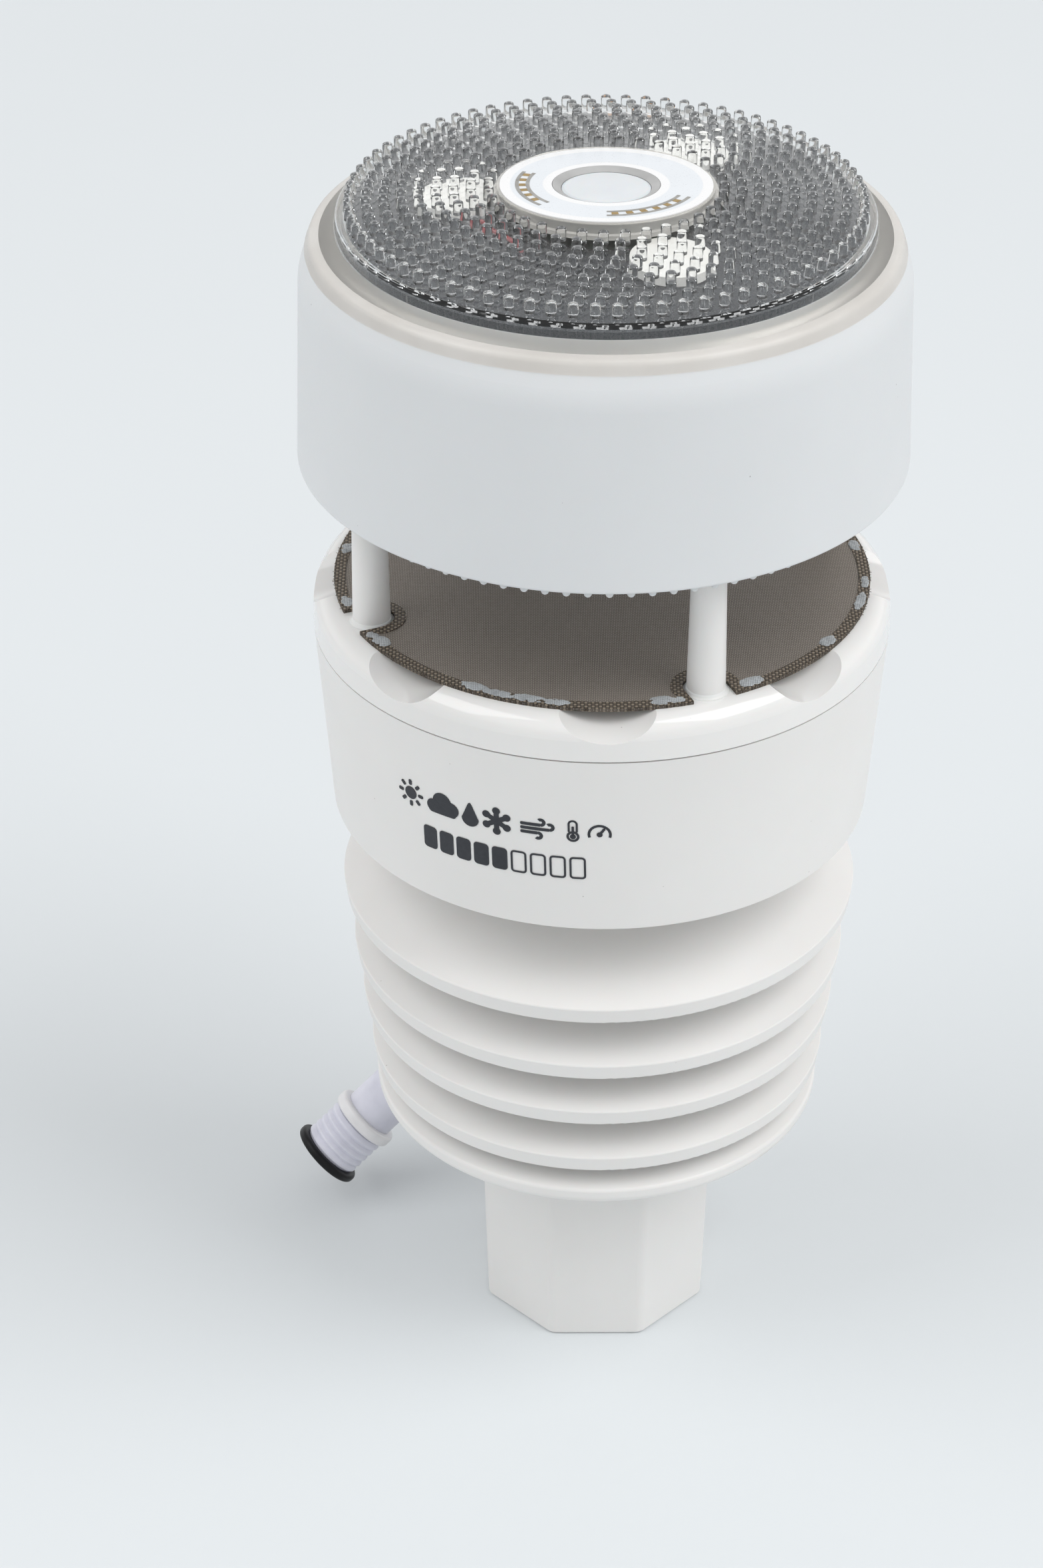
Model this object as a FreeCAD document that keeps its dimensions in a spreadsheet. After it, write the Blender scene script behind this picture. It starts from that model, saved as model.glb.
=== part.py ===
import FreeCAD, Part
import math
import os
import Sketcher
from FreeCAD import Placement, Rotation, Vector

# Compact all-in-one weather sensor for a pole, in millimetres. It stands on the flat underside of its
# octagonal mast stub. The origin is the centre of that underside, +Z points up and -Y is the front.
# From the foot up: mast stub with the battery bay, louvred shield, electronics housing, ultrasonic
# wind deck, four posts, and the head with the rain, sun and light sensors.

os.makedirs("parts", exist_ok=True)
doc = FreeCAD.newDocument("weather_sensor")

# ---------------------------------------------------------------- driving dimensions

SIZES = {
    # mast stub and battery bay
    "stub_flat": 24.4,
    "stub_height": 57.4,
    "stub_draft": 1.5,
    "stub_wall": 2.4,
    "stub_corner": 3.0,
    "stub_bevel": 0.5,
    "bay_half_width": 9.2,
    "bay_bottom": 6.0,
    "bay_top": 52.6,
    "door_gap": 0.3,
    "door_top_gap": 0.8,
    "door_thickness": 2.2,
    "door_pin_height": 50.4,
    "door_pin_reach": 24.3,
    "door_pin_radius": 1.1,
    "latch_height": 11.5,
    "latch_radius": 3.0,
    "cell_radius": 7.2,
    "cell_length": 50.5,
    "cell_seat": 4.4,
    "cell_front": 11.4,
    "cell_back": -4.4,
    "contact_thickness": 0.4,
    # louvred shield
    "plate_seat": 57.4,
    "plate_edge": 48.9,
    "louvre_four_seat": 67.1,
    "louvre_three_seat": 80.7,
    "louvre_two_seat": 93.8,
    "louvre_one_seat": 109.6,
    "lip_base_radius": 49.5,
    "lip_flare": 0.1224,
    "lip_height": 3.6,
    "lip_draft": 0.5,
    "lip_thickness": 2.0,
    "skirt_slope": 0.577,
    "skirt_thickness": 2.3,
    "skirt_inner": 36.0,
    "pillar_reach": 33.0,
    "pillar_radius": 3.8,
    "tie_hole": 1.9,
    "tie_radius": 1.7,
    # electronics housing
    "housing_seat": 134.4,
    "housing_foot": 56.7,
    "housing_rim": 59.75,
    "housing_height": 41.3,
    "housing_wall": 2.3,
    "housing_floor": 5.1,
    "floor_thickness": 2.4,
    "duct_radius": 6.5,
    "duct_bore": 5.3,
    "board_seat": 160.0,
    "board_radius": 50.0,
    "board_thickness": 1.6,
    # wind deck
    "collar_seat": 172.05,
    "spigot_height": 4.0,
    "collar_height": 8.85,
    "collar_radius": 59.8,
    "collar_round": 4.6,
    "collar_rim_inner": 46.2,
    "deck_thickness": 2.4,
    "scoop_radius": 15.0,
    "scoop_depth": 3.0,
    "scoop_reach": 55.2,
    "scoop_tilt": 16.0,
    "mesh_radius": 55.3,
    "mesh_thickness": 0.5,
    "transducer_reach": 24.0,
    "transducer_radius": 8.0,
    "transducer_height": 10.0,
    # posts
    "post_reach": 50.8,
    "post_angle": 22.5,
    "post_foot": 179.0,
    "post_top": 213.9,
    "post_foot_radius": 3.9,
    "post_top_radius": 3.45,
    "spigot_radius": 2.4,
    # head
    "base_plate_seat": 213.9,
    "base_plate_radius": 59.4,
    "base_plate_thickness": 2.5,
    "shell_seat": 214.5,
    "shell_foot": 61.9,
    "shell_shoulder": 60.5,
    "shell_shoulder_height": 39.6,
    "shell_rim": 58.0,
    "shell_height": 46.6,
    "shell_wall": 2.2,
    "ledge_height": 41.9,
    "ledge_thickness": 2.0,
    "ledge_inner": 52.0,
    "cover_seat": 259.3,
    "cover_radius": 56.6,
    "dome_edge": 52.4,
    "dome_edge_height": 7.1,
    "dome_top_height": 10.25,
    "dome_hole": 16.0,
    "cover_thickness": 1.8,
    "dome_curve": 417.0,
    "panel_seat": 262.3,
    "panel_outer": 50.6,
    "panel_inner": 17.0,
    "panel_thickness": 1.6,
    "disc_reach": 29.0,
    "disc_radius": 8.0,
    "disc_height": 1.9,
    "disc_gap": 0.15,
    "puck_seat": 269.0,
    "puck_foot": 21.9,
    "puck_radius": 21.3,
    "rain_board_radius": 20.8,
    "rain_board_height": 271.15,
    "rain_board_thickness": 0.5,
    "rain_board_tilt": 3.4,
    "light_ring_radius": 10.5,
    "diffuser_radius": 8.7,
    "light_board_seat": 266.9,
    # power pigtail
    "cable_radius": 2.0,
    "gland_radius": 5.2,
    "connector_length": 31.0,
    "connector_radius": 6.35,
    "thread_radius": 7.3,
    "seal_radius": 8.6,
}

sheet = doc.addObject("Spreadsheet::Sheet", "Sizes")
for row, (word, value) in enumerate(SIZES.items(), start=1):
    sheet.set("A%d" % row, word)
    sheet.set("B%d" % row, str(value))
    sheet.setAlias("B%d" % row, word)
doc.recompute()

parts = {}


def size(word):
    """The value of one cell of the sheet."""
    return float(getattr(sheet, word))


def formula(text):
    """Put the sheet's name before each of its words in a formula."""
    words = text.replace("(", " ( ").replace(")", " ) ").split()
    return " ".join("Sizes." + word if word in SIZES else word for word in words)


def bind(thing, **formulas):
    """Tie properties of an object to cells of the sheet."""
    for name, text in formulas.items():
        thing.setExpression(name, formula(text))


def seat(thing, height, x="0", y="0"):
    """Tie an object's place to cells of the sheet."""
    for axis, text in zip("xyz", (x, y, height)):
        thing.setExpression("Placement.Base." + axis, formula(text))


def keep(thing, name):
    """Give a finished sub-part the label that names its file."""
    thing.Label = name
    parts[name] = thing
    return thing


# ---------------------------------------------------------------- ways of making


def drawn(body, name, role, outline):
    """A closed sketch of straight lines whose corners are formulas. Corners stay at or above zero."""
    sketch = body.newObject("Sketcher::SketchObject", name)
    plane = next(item for item in body.Origin.OriginFeatures if item.Role == role)
    sketch.AttachmentSupport = [(plane, "")]
    sketch.MapMode = "FlatFace"
    corners = [[float(sketch.evalExpression(formula(text))) for text in corner] for corner in outline]
    for start, end in zip(corners, corners[1:] + corners[:1]):
        sketch.addGeometry(Part.LineSegment(Vector(*start, 0), Vector(*end, 0)))
    for index, (corner, texts) in enumerate(zip(corners, outline)):
        previous = (index - 1) % len(corners)
        sketch.addConstraint(Sketcher.Constraint("Coincident", previous, 2, index, 1))
        for way, rule, other_axis in ((0, "DistanceX", -2), (1, "DistanceY", -1)):
            if texts[way] == "0":
                sketch.addConstraint(Sketcher.Constraint("PointOnObject", index, 1, other_axis))
                continue
            number = sketch.addConstraint(Sketcher.Constraint(rule, -1, 1, index, 1, corner[way]))
            label = "%s_%d" % ("radius" if way == 0 else "height", index)
            sketch.renameConstraint(number, label)
            sketch.setExpression("Constraints." + label, formula(texts[way]))
    return sketch


def turned(name, height, outline, rounds=()):
    """A turned piece: its outline is (radius, height) pairs, and rounds are (radius, height, fillet)."""
    body = doc.addObject("PartDesign::Body", name + "_body")
    sketch = drawn(body, name + "_outline", "XZ_Plane", outline)
    feature = body.newObject("PartDesign::Revolution", name + "_turning")
    feature.Profile = sketch
    feature.ReferenceAxis = (sketch, ["V_Axis"])
    feature.Angle = 360.0
    doc.recompute()
    for index, (radius, level, fillet) in enumerate(rounds):
        at_radius = float(body.evalExpression(formula(radius)))
        at_level = float(body.evalExpression(formula(level)))
        edges = rim_edges(feature.Shape, at_radius, at_level)
        rounded = body.newObject("PartDesign::Fillet", "%s_round_%d" % (name, index))
        rounded.Base = (feature, edges)
        bind(rounded, Radius=fillet)
        doc.recompute()
        feature = rounded
    body.Tip = feature
    seat(body, height)
    return body


def rim_edges(shape, radius, level):
    """The names of the round edges about Z that have this radius at this height."""
    names = []
    for index, edge in enumerate(shape.Edges, start=1):
        curve = edge.Curve
        if not isinstance(curve, Part.Circle):
            continue
        if abs(curve.Radius - radius) < 0.02 and abs(curve.Center.z - level) < 0.02:
            names.append("Edge%d" % index)
    return names


def rod(name, radius, height, at=None):
    """A plain cylinder along Z, seated at a place when one is given."""
    thing = doc.addObject("Part::Cylinder", name)
    bind(thing, Radius=radius, Height=height)
    if at:
        seat(thing, at[2], at[0], at[1])
    return thing


def block(name, length, width, height, at):
    """A plain box from its lowest corner."""
    thing = doc.addObject("Part::Box", name)
    bind(thing, Length=length, Width=width, Height=height)
    seat(thing, at[2], at[0], at[1])
    return thing


def joined(name, shapes):
    """Several overlapping shapes as one."""
    thing = doc.addObject("Part::MultiFuse", name)
    thing.Shapes = shapes
    return thing


def grouped(name, shapes):
    """Several separate solids in one sub-part."""
    thing = doc.addObject("Part::Compound", name)
    thing.Links = shapes
    return thing


def without(name, base, tool):
    """The base with the tool's shape taken out."""
    thing = doc.addObject("Part::Cut", name)
    thing.Base = base
    thing.Tool = tool
    return thing


def shared(name, base, tool):
    """What the base and the tool have in common."""
    thing = doc.addObject("Part::Common", name)
    thing.Base = base
    thing.Tool = tool
    return thing


def polar(reach, angle):
    """The x and y formulas of a point on a circle about the axis, with the angle in degrees."""
    return ("%s * %.9f" % (reach, math.cos(math.radians(angle))),
            "%s * %.9f" % (reach, math.sin(math.radians(angle))))


def ring_of_rods(name, count, first, reach, radius, low, high):
    """Equal cylinders spaced evenly round the axis."""
    rods = []
    for index in range(count):
        x, y = polar(reach, first + 360.0 * index / count)
        rods.append(rod("%s_%d" % (name, index + 1), radius, "%s - ( %s )" % (high, low), (x, y, low)))
    return rods


# ---------------------------------------------------------------- mast stub and battery bay

FLAT_TO_CORNER = 1.0 / math.cos(math.pi / 8.0)
BAY_TURN = -45.0  # the bay opens on the flat at the back right


def octagon(name, half_flat, height):
    """A regular octagon whose flats face the axes."""
    wire = doc.addObject("Part::RegularPolygon", name)
    wire.Polygon = 8
    bind(wire, Circumradius="( %s ) * %.9f" % (half_flat, FLAT_TO_CORNER))
    seat(wire, height)
    wire.Placement.Rotation = Rotation(Vector(0, 0, 1), 22.5)
    return wire


def octagonal_bar(name, inset, low, high):
    """A drafted octagonal bar, set in from the outside of the stub."""
    draft = math.tan(math.radians(size("stub_draft")))
    bar = doc.addObject("Part::Loft", name)
    bar.Sections = [
        octagon("%s_%s" % (name, end), "stub_flat + ( %s ) * %.9f - ( %s )" % (level, draft, inset), level)
        for end, level in (("low", low), ("high", high))
    ]
    bar.Solid = True
    bar.Ruled = True
    doc.recompute()
    return bar


def facing_bay(thing):
    """Turn a piece that was made facing +Y towards the battery bay's side."""
    thing.Placement = Placement(Vector(0, 0, 0), Rotation(Vector(0, 0, 1), BAY_TURN))
    return thing


outer_bar = octagonal_bar("stub_outer", "0", "0", "stub_height")
upright = [
    index for index, edge in enumerate(outer_bar.Shape.Edges, start=1)
    if edge.BoundBox.ZLength > 0.9 * size("stub_height")
]
rounded_bar = doc.addObject("Part::Fillet", "stub_rounded")
rounded_bar.Base = outer_bar
rounded_bar.Edges = [(index, size("stub_corner"), size("stub_corner")) for index in upright]
doc.recompute()
stub_form = doc.addObject("Part::Chamfer", "stub_form")
stub_form.Base = rounded_bar
stub_form.Edges = [
    (index, size("stub_bevel"), size("stub_bevel"))
    for index, edge in enumerate(rounded_bar.Shape.Edges, start=1)
    if edge.BoundBox.ZMax < 0.01
]
doc.recompute()

hollow = octagonal_bar("stub_hollow", "stub_wall", "stub_wall", "stub_height")
stub_shell = without("stub_shell", stub_form, hollow)

bay_window = block(
    "bay_window", "2 * bay_half_width", "12", "bay_top - bay_bottom",
    ("0 - bay_half_width", "18", "bay_bottom"))
pin_sockets = rod("pin_sockets", "door_pin_radius + 0.1", "2 * ( bay_half_width + 1.6 )")
pin_sockets.Placement = Placement(
    Vector(-size("bay_half_width") - 1.6, size("door_pin_reach"), size("door_pin_height")),
    Rotation(Vector(0, 1, 0), 90))
bay_cuts = facing_bay(grouped("bay_cuts", [bay_window, pin_sockets]))
mast_stub = keep(without("mast_stub", stub_shell, bay_cuts), "mast_stub")

# The door is the same drafted wall as the stub, less a gap all round, on two short hinge pins at its top.
door_form = doc.addObject("Part::Feature", "door_form")
door_form.Shape = stub_form.Shape.copy()
door_form.Placement = Placement(Vector(0, 0, 0), Rotation(Vector(0, 0, 1), 0))
door_hollow = octagonal_bar("door_hollow", "door_thickness", "0", "stub_height")
door_skin = without("door_skin", door_form, door_hollow)
door_window = block(
    "door_window", "2 * ( bay_half_width - door_gap )", "8", "bay_top - bay_bottom - door_gap - door_top_gap",
    ("0 - bay_half_width + door_gap", "20", "bay_bottom + door_gap"))
door_panel = shared("door_panel", door_skin, door_window)
door_pins = rod("door_pins", "door_pin_radius", "2 * ( bay_half_width + 1.3 )")
door_pins.Placement = Placement(
    Vector(-size("bay_half_width") - 1.3, size("door_pin_reach"), size("door_pin_height")),
    Rotation(Vector(0, 1, 0), 90))
door_solid = joined("door_solid", [door_panel, door_pins])
latch_hole = rod("latch_hole", "latch_radius + 0.15", "12")
latch_hole.Placement = Placement(Vector(0, 18, size("latch_height")), Rotation(Vector(1, 0, 0), -90))
door_cut = without("door_cut", door_solid, latch_hole)
battery_door = keep(facing_bay(grouped("battery_door", [door_cut])), "battery_door")

# A quarter-turn latch: a slotted round head, a stem and a bar. The bar lies level when it is unlocked,
# and a quarter turn sends it down behind the wall under the window.
latch_head = rod("latch_head", "latch_radius", "3.4")
latch_bar = block("latch_bar", "10.4", "3.6", "1.4", ("0 - 7.4", "0 - 1.8", "0 - 1.6"))
latch_stem = rod("latch_stem", "1.6", "2.0", ("0", "0", "0 - 1.0"))
latch_form = joined("latch_form", [latch_head, latch_bar, latch_stem])
latch_slot = block("latch_slot", "4.6", "1.0", "1.2", ("0 - 2.3", "0 - 0.5", "2.4"))
latch_cut = without("latch_cut", latch_form, latch_slot)
latch_cut.Placement = Placement(Vector(0, 21.4, size("latch_height")), Rotation(Vector(1, 0, 0), -90))
door_latch = keep(facing_bay(grouped("door_latch", [latch_cut])), "door_latch")

# Two cells stand in a cradle, one behind the other as seen through the door.
holder_block = block("holder_block", "19", "32.6", "50.0", ("0 - 9.5", "0 - 13.6", "2.9"))
holder_space = block("holder_space", "15.2", "34", "52", ("0 - 7.6", "0 - 12.1", "2.8"))
holder_cut = without("holder_cut", holder_block, holder_space)
battery_holder = keep(facing_bay(grouped("battery_holder", [holder_cut])), "battery_holder")

for number, place in ((1, "cell_front"), (2, "cell_back")):
    cell = rod("cell_%d" % number, "cell_radius", "cell_length - 1.2", ("0", place, "cell_seat"))
    nub = rod("cell_nub_%d" % number, "2.7", "1.3", ("0", place, "cell_seat + cell_length - 1.3"))
    whole = joined("cell_whole_%d" % number, [cell, nub])
    keep(facing_bay(grouped("battery_%d" % number, [whole])), "battery_%d" % number)

contacts = []
for number, place in ((1, "cell_front"), (2, "cell_back")):
    foot = rod("contact_foot_%d" % number, "5.5", "contact_thickness", ("0", place, "stub_wall + 0.05"))
    coil = doc.addObject("Part::Cone", "contact_spring_%d" % number)
    bind(coil, Radius1="4.6", Radius2="2.4", Height="1.5")
    seat(coil, "stub_wall + 0.05 + contact_thickness", "0", place)
    contacts.append(joined("contact_low_%d" % number, [foot, coil]))
    high_seat = ("0", place, "cell_seat + cell_length + 0.05")
    contacts.append(rod("contact_high_%d" % number, "5.0", "contact_thickness", high_seat))
battery_contacts = keep(facing_bay(grouped("battery_contacts", contacts)), "battery_contacts")

# ---------------------------------------------------------------- louvred shield

PILLARS = 3
PILLAR_START = 30.0


def pillars(name, low, high):
    """The three pillar tubes that carry one louvre, from the one below it up."""
    return ring_of_rods(name, PILLARS, PILLAR_START, "pillar_reach", "pillar_radius", low, high)


def tie_holes(name, low, high):
    """The three screw holes through the pillars."""
    return ring_of_rods(name, PILLARS, PILLAR_START, "pillar_reach", "tie_hole", low, high)


plate_body = turned("plate", "plate_seat", [
    ("duct_bore", "0"),
    ("plate_edge", "0"),
    ("plate_edge + 0.15", "3.8"),
    ("skirt_inner + 2", "3.8 + skirt_slope * ( plate_edge - skirt_inner - 2 )"),
    ("skirt_inner", "3.8 + skirt_slope * ( plate_edge - skirt_inner - 2 )"),
    ("skirt_inner", "1.5 + skirt_slope * ( plate_edge - skirt_inner )"),
    ("plate_edge - 2.6", "3.4"),
    ("plate_edge - 2.6", "2.2"),
    ("duct_bore", "2.2"),
], rounds=[("plate_edge", "0", "2.0"), ("plate_edge + 0.15", "3.8", "0.9")])
plate_top = "plate_seat + 3.8 + skirt_slope * ( plate_edge - skirt_inner - 2 )"
plate_solid = joined("plate_solid", [plate_body] + pillars("plate_pillar", "plate_seat + 0.5", plate_top))
plate_holes = tie_holes("plate_hole", "plate_seat - 1", plate_top + " + 1")
plate_holes += ring_of_rods("plate_screw_sink", PILLARS, PILLAR_START, "pillar_reach", "3.2",
                            "plate_seat - 1", "plate_seat + 1.9")
BUTTON_REACH = "35.5"
BUTTON_ANGLES = {"calibrate_button": 78.0 - 90.0, "reset_button": 62.0 - 90.0}
LIGHT_ANGLE = -44.0
BUTTON_RADIUS = 2.2
for label, angle in BUTTON_ANGLES.items():
    x, y = polar(BUTTON_REACH, angle)
    plate_holes.append(rod(label + "_hole", "%.2f + 0.15" % BUTTON_RADIUS, "4", (x, y, "plate_seat - 1")))
x, y = polar(BUTTON_REACH, LIGHT_ANGLE)
plate_holes.append(rod("light_hole", "1.6", "4", (x, y, "plate_seat - 1")))
plate_hole_tool = joined("plate_hole_tool", plate_holes)
bottom_plate = keep(without("bottom_plate", plate_solid, plate_hole_tool), "bottom_plate")

previous_top = plate_top
for word, number in (("four", 4), ("three", 3), ("two", 2), ("one", 1)):
    name = "louvre_%d" % number
    level = "louvre_%s_seat" % word
    lip = "( lip_base_radius + lip_flare * ( %s - louvre_four_seat ) )" % level
    skirt_top = "lip_height + skirt_slope * ( %s + lip_draft - skirt_inner )" % lip
    skirt = turned(name, level, [
        (lip + " - lip_thickness", "0"),
        (lip, "0"),
        (lip + " + lip_draft", "lip_height"),
        ("skirt_inner", skirt_top),
        ("skirt_inner", skirt_top + " - skirt_thickness"),
        (lip + " - lip_thickness",
         "lip_height + skirt_slope * ( lip_draft + lip_thickness ) - skirt_thickness"),
    ], rounds=[(lip + " + lip_draft", "lip_height", "0.35"), (lip, "0", "0.35")])
    top = level + " + " + skirt_top
    solid = joined(name + "_solid", [skirt] + pillars(name + "_pillar", previous_top, top))
    holes = joined(name + "_holes", tie_holes(name + "_hole", previous_top + " - 1", top + " + 1"))
    keep(without(name, solid, holes), name)
    previous_top = top

tie_screws = []
for number, shank in enumerate(ring_of_rods(
        "tie_shank", PILLARS, PILLAR_START, "pillar_reach", "tie_radius", "plate_seat + 0.1", "134.0")):
    x, y = polar("pillar_reach", PILLAR_START + 360.0 * number / PILLARS)
    head = rod("tie_head_%d" % (number + 1), "3.0", "1.8", (x, y, "plate_seat + 0.05"))
    slot_corner = (x + " - 1.8", y + " - 0.4", "plate_seat - 0.1")
    cross = block("tie_cross_%d" % (number + 1), "3.6", "0.8", "1.0", slot_corner)
    blank = joined("tie_blank_%d" % (number + 1), [shank, head])
    tie_screws.append(without("tie_screw_%d" % (number + 1), blank, cross))
keep(grouped("tie_screws", tie_screws), "tie_screws")

FLOOR_TOP = "housing_seat + housing_floor"
duct_seat = ("0", "0", "plate_seat + 2.25")
duct_outer = rod("duct_outer", "duct_radius", FLOOR_TOP + " - plate_seat - 2.3", duct_seat)
duct_inner = rod("duct_inner", "duct_bore", "100", ("0", "0", "plate_seat"))
wire_duct = keep(without("wire_duct", duct_outer, duct_inner), "wire_duct")

# The temperature and humidity board hangs from the housing floor into the shaded air of the shield.
climate_board = block("climate_board", "1.6", "10", "54", ("19.2", "0 - 5", FLOOR_TOP + " - 54.05"))
climate_chip = block("climate_chip", "1.2", "3", "3", ("20.8", "0 - 1.5", FLOOR_TOP + " - 52"))
keep(joined("climate_sensor_board", [climate_board, climate_chip]), "climate_sensor_board")
cap_body = turned("cap", "78.0", [
    ("0", "0"),
    ("7.2", "0"),
    ("7.2", "22"),
    ("6.0", "22"),
    ("6.0", "1.4"),
    ("0", "1.4"),
], rounds=[("7.2", "0", "1.5")])
seat(cap_body, "78.0", "20")
keep(cap_body, "climate_filter_cap")

# ---------------------------------------------------------------- buttons, status light and their board

for label, angle in BUTTON_ANGLES.items():
    x, y = polar(BUTTON_REACH, angle)
    stem = rod(label + "_stem", "%.2f" % BUTTON_RADIUS, "3.3", (x, y, "plate_seat - 0.6"))
    flange = rod(label + "_flange", "2.9", "0.6", (x, y, "plate_seat + 2.3"))
    keep(joined(label, [stem, flange]), label)
x, y = polar(BUTTON_REACH, LIGHT_ANGLE)
keep(rod("status_light", "1.45", "4.0", (x, y, "plate_seat - 0.2")), "status_light")

button_board_form = doc.addObject("Part::Box", "button_board_form")
bind(button_board_form, Length="9", Width="26", Height="1.0")
board_way = math.radians(-28.0)
board_place = Vector(25.6 * math.cos(board_way), 25.6 * math.sin(board_way), size("plate_seat") + 6.0)
board_turn = Placement(board_place, Rotation(Vector(0, 0, 1), -28.0))
button_board_form.Placement = board_turn * Placement(Vector(0, -13, 0), Rotation())
switches = []
for label, angle in BUTTON_ANGLES.items():
    switches.append(rod(label + "_switch", "1.8", "1.6", polar(BUTTON_REACH, angle) + ("plate_seat + 4.45",)))
keep(joined("button_board", [button_board_form] + switches), "button_board")

# ---------------------------------------------------------------- electronics housing

housing_body = turned("housing", "housing_seat", [
    ("duct_bore", "housing_floor"),
    ("housing_foot - housing_wall + 0.2", "housing_floor"),
    ("housing_foot - housing_wall", "0"),
    ("housing_foot", "0"),
    ("housing_rim", "housing_height"),
    ("housing_rim - housing_wall", "housing_height"),
    ("housing_foot - housing_wall + 0.5", "housing_floor + floor_thickness"),
    ("duct_bore", "housing_floor + floor_thickness"),
], rounds=[("housing_foot", "0", "0.3")])
housing_bosses = pillars("housing_boss", previous_top, FLOOR_TOP + " + 1")
board_bosses = ring_of_rods("board_boss", 3, 90.0, "44", "3.2", FLOOR_TOP + " + 1", "board_seat")
housing_solid = joined("housing_solid", [housing_body] + housing_bosses + board_bosses)
housing_holes = tie_holes("housing_hole", previous_top + " - 1", "135.0")
housing_holes += ring_of_rods("board_hole", 3, 90.0, "44", "1.3", "board_seat - 8", "board_seat + 1")
housing_tool = joined("housing_hole_tool", housing_holes)
main_housing = keep(without("main_housing", housing_solid, housing_tool), "main_housing")

board_disc = rod("board_disc", "board_radius", "board_thickness", ("0", "0", "board_seat + 0.02"))
board_clear = joined(
    "board_clear", ring_of_rods("board_clear_hole", 3, 90.0, "44", "1.5", "board_seat - 1", "board_seat + 3"))
main_board = keep(without("main_board", board_disc, board_clear), "main_board")

board_screws = []
for number, shank in enumerate(ring_of_rods(
        "board_shank", 3, 90.0, "44", "1.2", "board_seat - 6", "board_seat + 2")):
    x, y = polar("44", 90.0 + 120.0 * number)
    head = rod("board_head_%d" % (number + 1), "2.6", "1.6", (x, y, "board_seat + board_thickness + 0.05"))
    board_screws.append(joined("board_screw_%d" % (number + 1), [shank, head]))
keep(grouped("board_screws", board_screws), "board_screws")

on_board = "board_seat + board_thickness + 0.05"
keep(rod("supercapacitor", "6.3", "9.5", ("0 - 14", "16", on_board)), "supercapacitor")
radio_can = block("radio_can", "18", "14", "2.6", ("12", "10", on_board))
radio_coil = rod("radio_coil", "2.2", "9.0", ("34", "6", on_board))
keep(grouped("radio_module", [radio_can, radio_coil]), "radio_module")

# ---------------------------------------------------------------- wind deck

seal_body = turned("seal", "collar_seat + 2.3", [
    ("housing_rim - housing_wall - 1.0", "0"),
    ("housing_rim - housing_wall - 0.25", "0"),
    ("housing_rim - housing_wall - 0.25", "1.4"),
    ("housing_rim - housing_wall - 1.0", "1.4"),
])
keep(seal_body, "housing_seal")

deck_low = "spigot_height + collar_height - deck_thickness"
deck_high = "spigot_height + collar_height"
collar_body = turned("collar_ring", "collar_seat", [
    ("0", deck_low),
    ("collar_rim_inner", deck_low),
    ("collar_rim_inner", "spigot_height + 0.6"),
    ("55.0", "spigot_height + 0.6"),
    ("55.0", "0"),
    ("56.3", "0"),
    ("56.3", "spigot_height"),
    ("collar_radius", "spigot_height"),
    ("collar_radius - 0.3", deck_high),
    ("0", deck_high),
], rounds=[("collar_radius - 0.3", deck_high, "collar_round")])
collar_cuts = ring_of_rods(
    "transducer_hole", 4, 0.0, "transducer_reach", "transducer_radius + 0.7", "collar_seat", "190")
collar_cuts += ring_of_rods(
    "post_socket", 4, size("post_angle"), "post_reach", "post_foot_radius + 0.05", "collar_seat", "190")
SCOOPS = 8
collar_top = size("collar_seat") + size("spigot_height") + size("collar_height")
lift = collar_top - size("scoop_depth") + size("scoop_radius")
for number in range(SCOOPS):
    turn = 360.0 * number / SCOOPS
    scoop = doc.addObject("Part::Cylinder", "scoop_%d" % (number + 1))
    bind(scoop, Radius="scoop_radius", Height="26")
    tilted = Placement(Vector(size("scoop_reach"), 0, lift), Rotation(Vector(0, 1, 0), 90 + size("scoop_tilt")))
    inward = Placement(Vector(0, 0, -7.5), Rotation())
    scoop.Placement = Placement(Vector(0, 0, 0), Rotation(Vector(0, 0, 1), turn)) * tilted * inward
    collar_cuts.append(scoop)
deck_collar = keep(without("deck_collar", collar_body, joined("collar_tool", collar_cuts)), "deck_collar")

mesh_seat = ("0", "0", "collar_seat + spigot_height + collar_height + 0.1")
mesh_disc = rod("mesh_disc", "mesh_radius", "mesh_thickness", mesh_seat)
notches = ring_of_rods("mesh_notch", 4, size("post_angle"), "post_reach", "post_foot_radius + 0.7",
                       "183", "188")
for number in range(4):
    slot = doc.addObject("Part::Box", "mesh_slot_%d" % (number + 1))
    bind(slot, Length="10", Width="2 * post_foot_radius + 1.4", Height="5")
    outward = Placement(Vector(size("post_reach"), -size("post_foot_radius") - 0.7, 183), Rotation())
    towards_post = Rotation(Vector(0, 0, 1), size("post_angle") + 90.0 * number)
    slot.Placement = Placement(Vector(0, 0, 0), towards_post) * outward
    notches.append(slot)
keep(without("transducer_mesh", mesh_disc, joined("mesh_notches", notches)), "transducer_mesh")

deck_under = "collar_seat + " + deck_low
for number in range(4):
    x, y = polar("transducer_reach", 90.0 * number)
    can = rod("transducer_can_%d" % (number + 1), "transducer_radius", "transducer_height",
              (x, y, deck_under + " + deck_thickness - transducer_height - 0.2"))
    keep(can, "transducer_%d" % (number + 1))
gaskets = []
for number in range(4):
    x, y = polar("transducer_reach", 90.0 * number)
    name = "gasket_%d" % (number + 1)
    outer = rod(name + "_outer", "transducer_radius + 0.65", "2.2", (x, y, deck_under + " + 0.05"))
    inner = rod(name + "_inner", "transducer_radius + 0.05", "6", (x, y, deck_under + " - 2"))
    gaskets.append(without(name, outer, inner))
keep(grouped("transducer_gaskets", gaskets), "transducer_gaskets")

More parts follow.
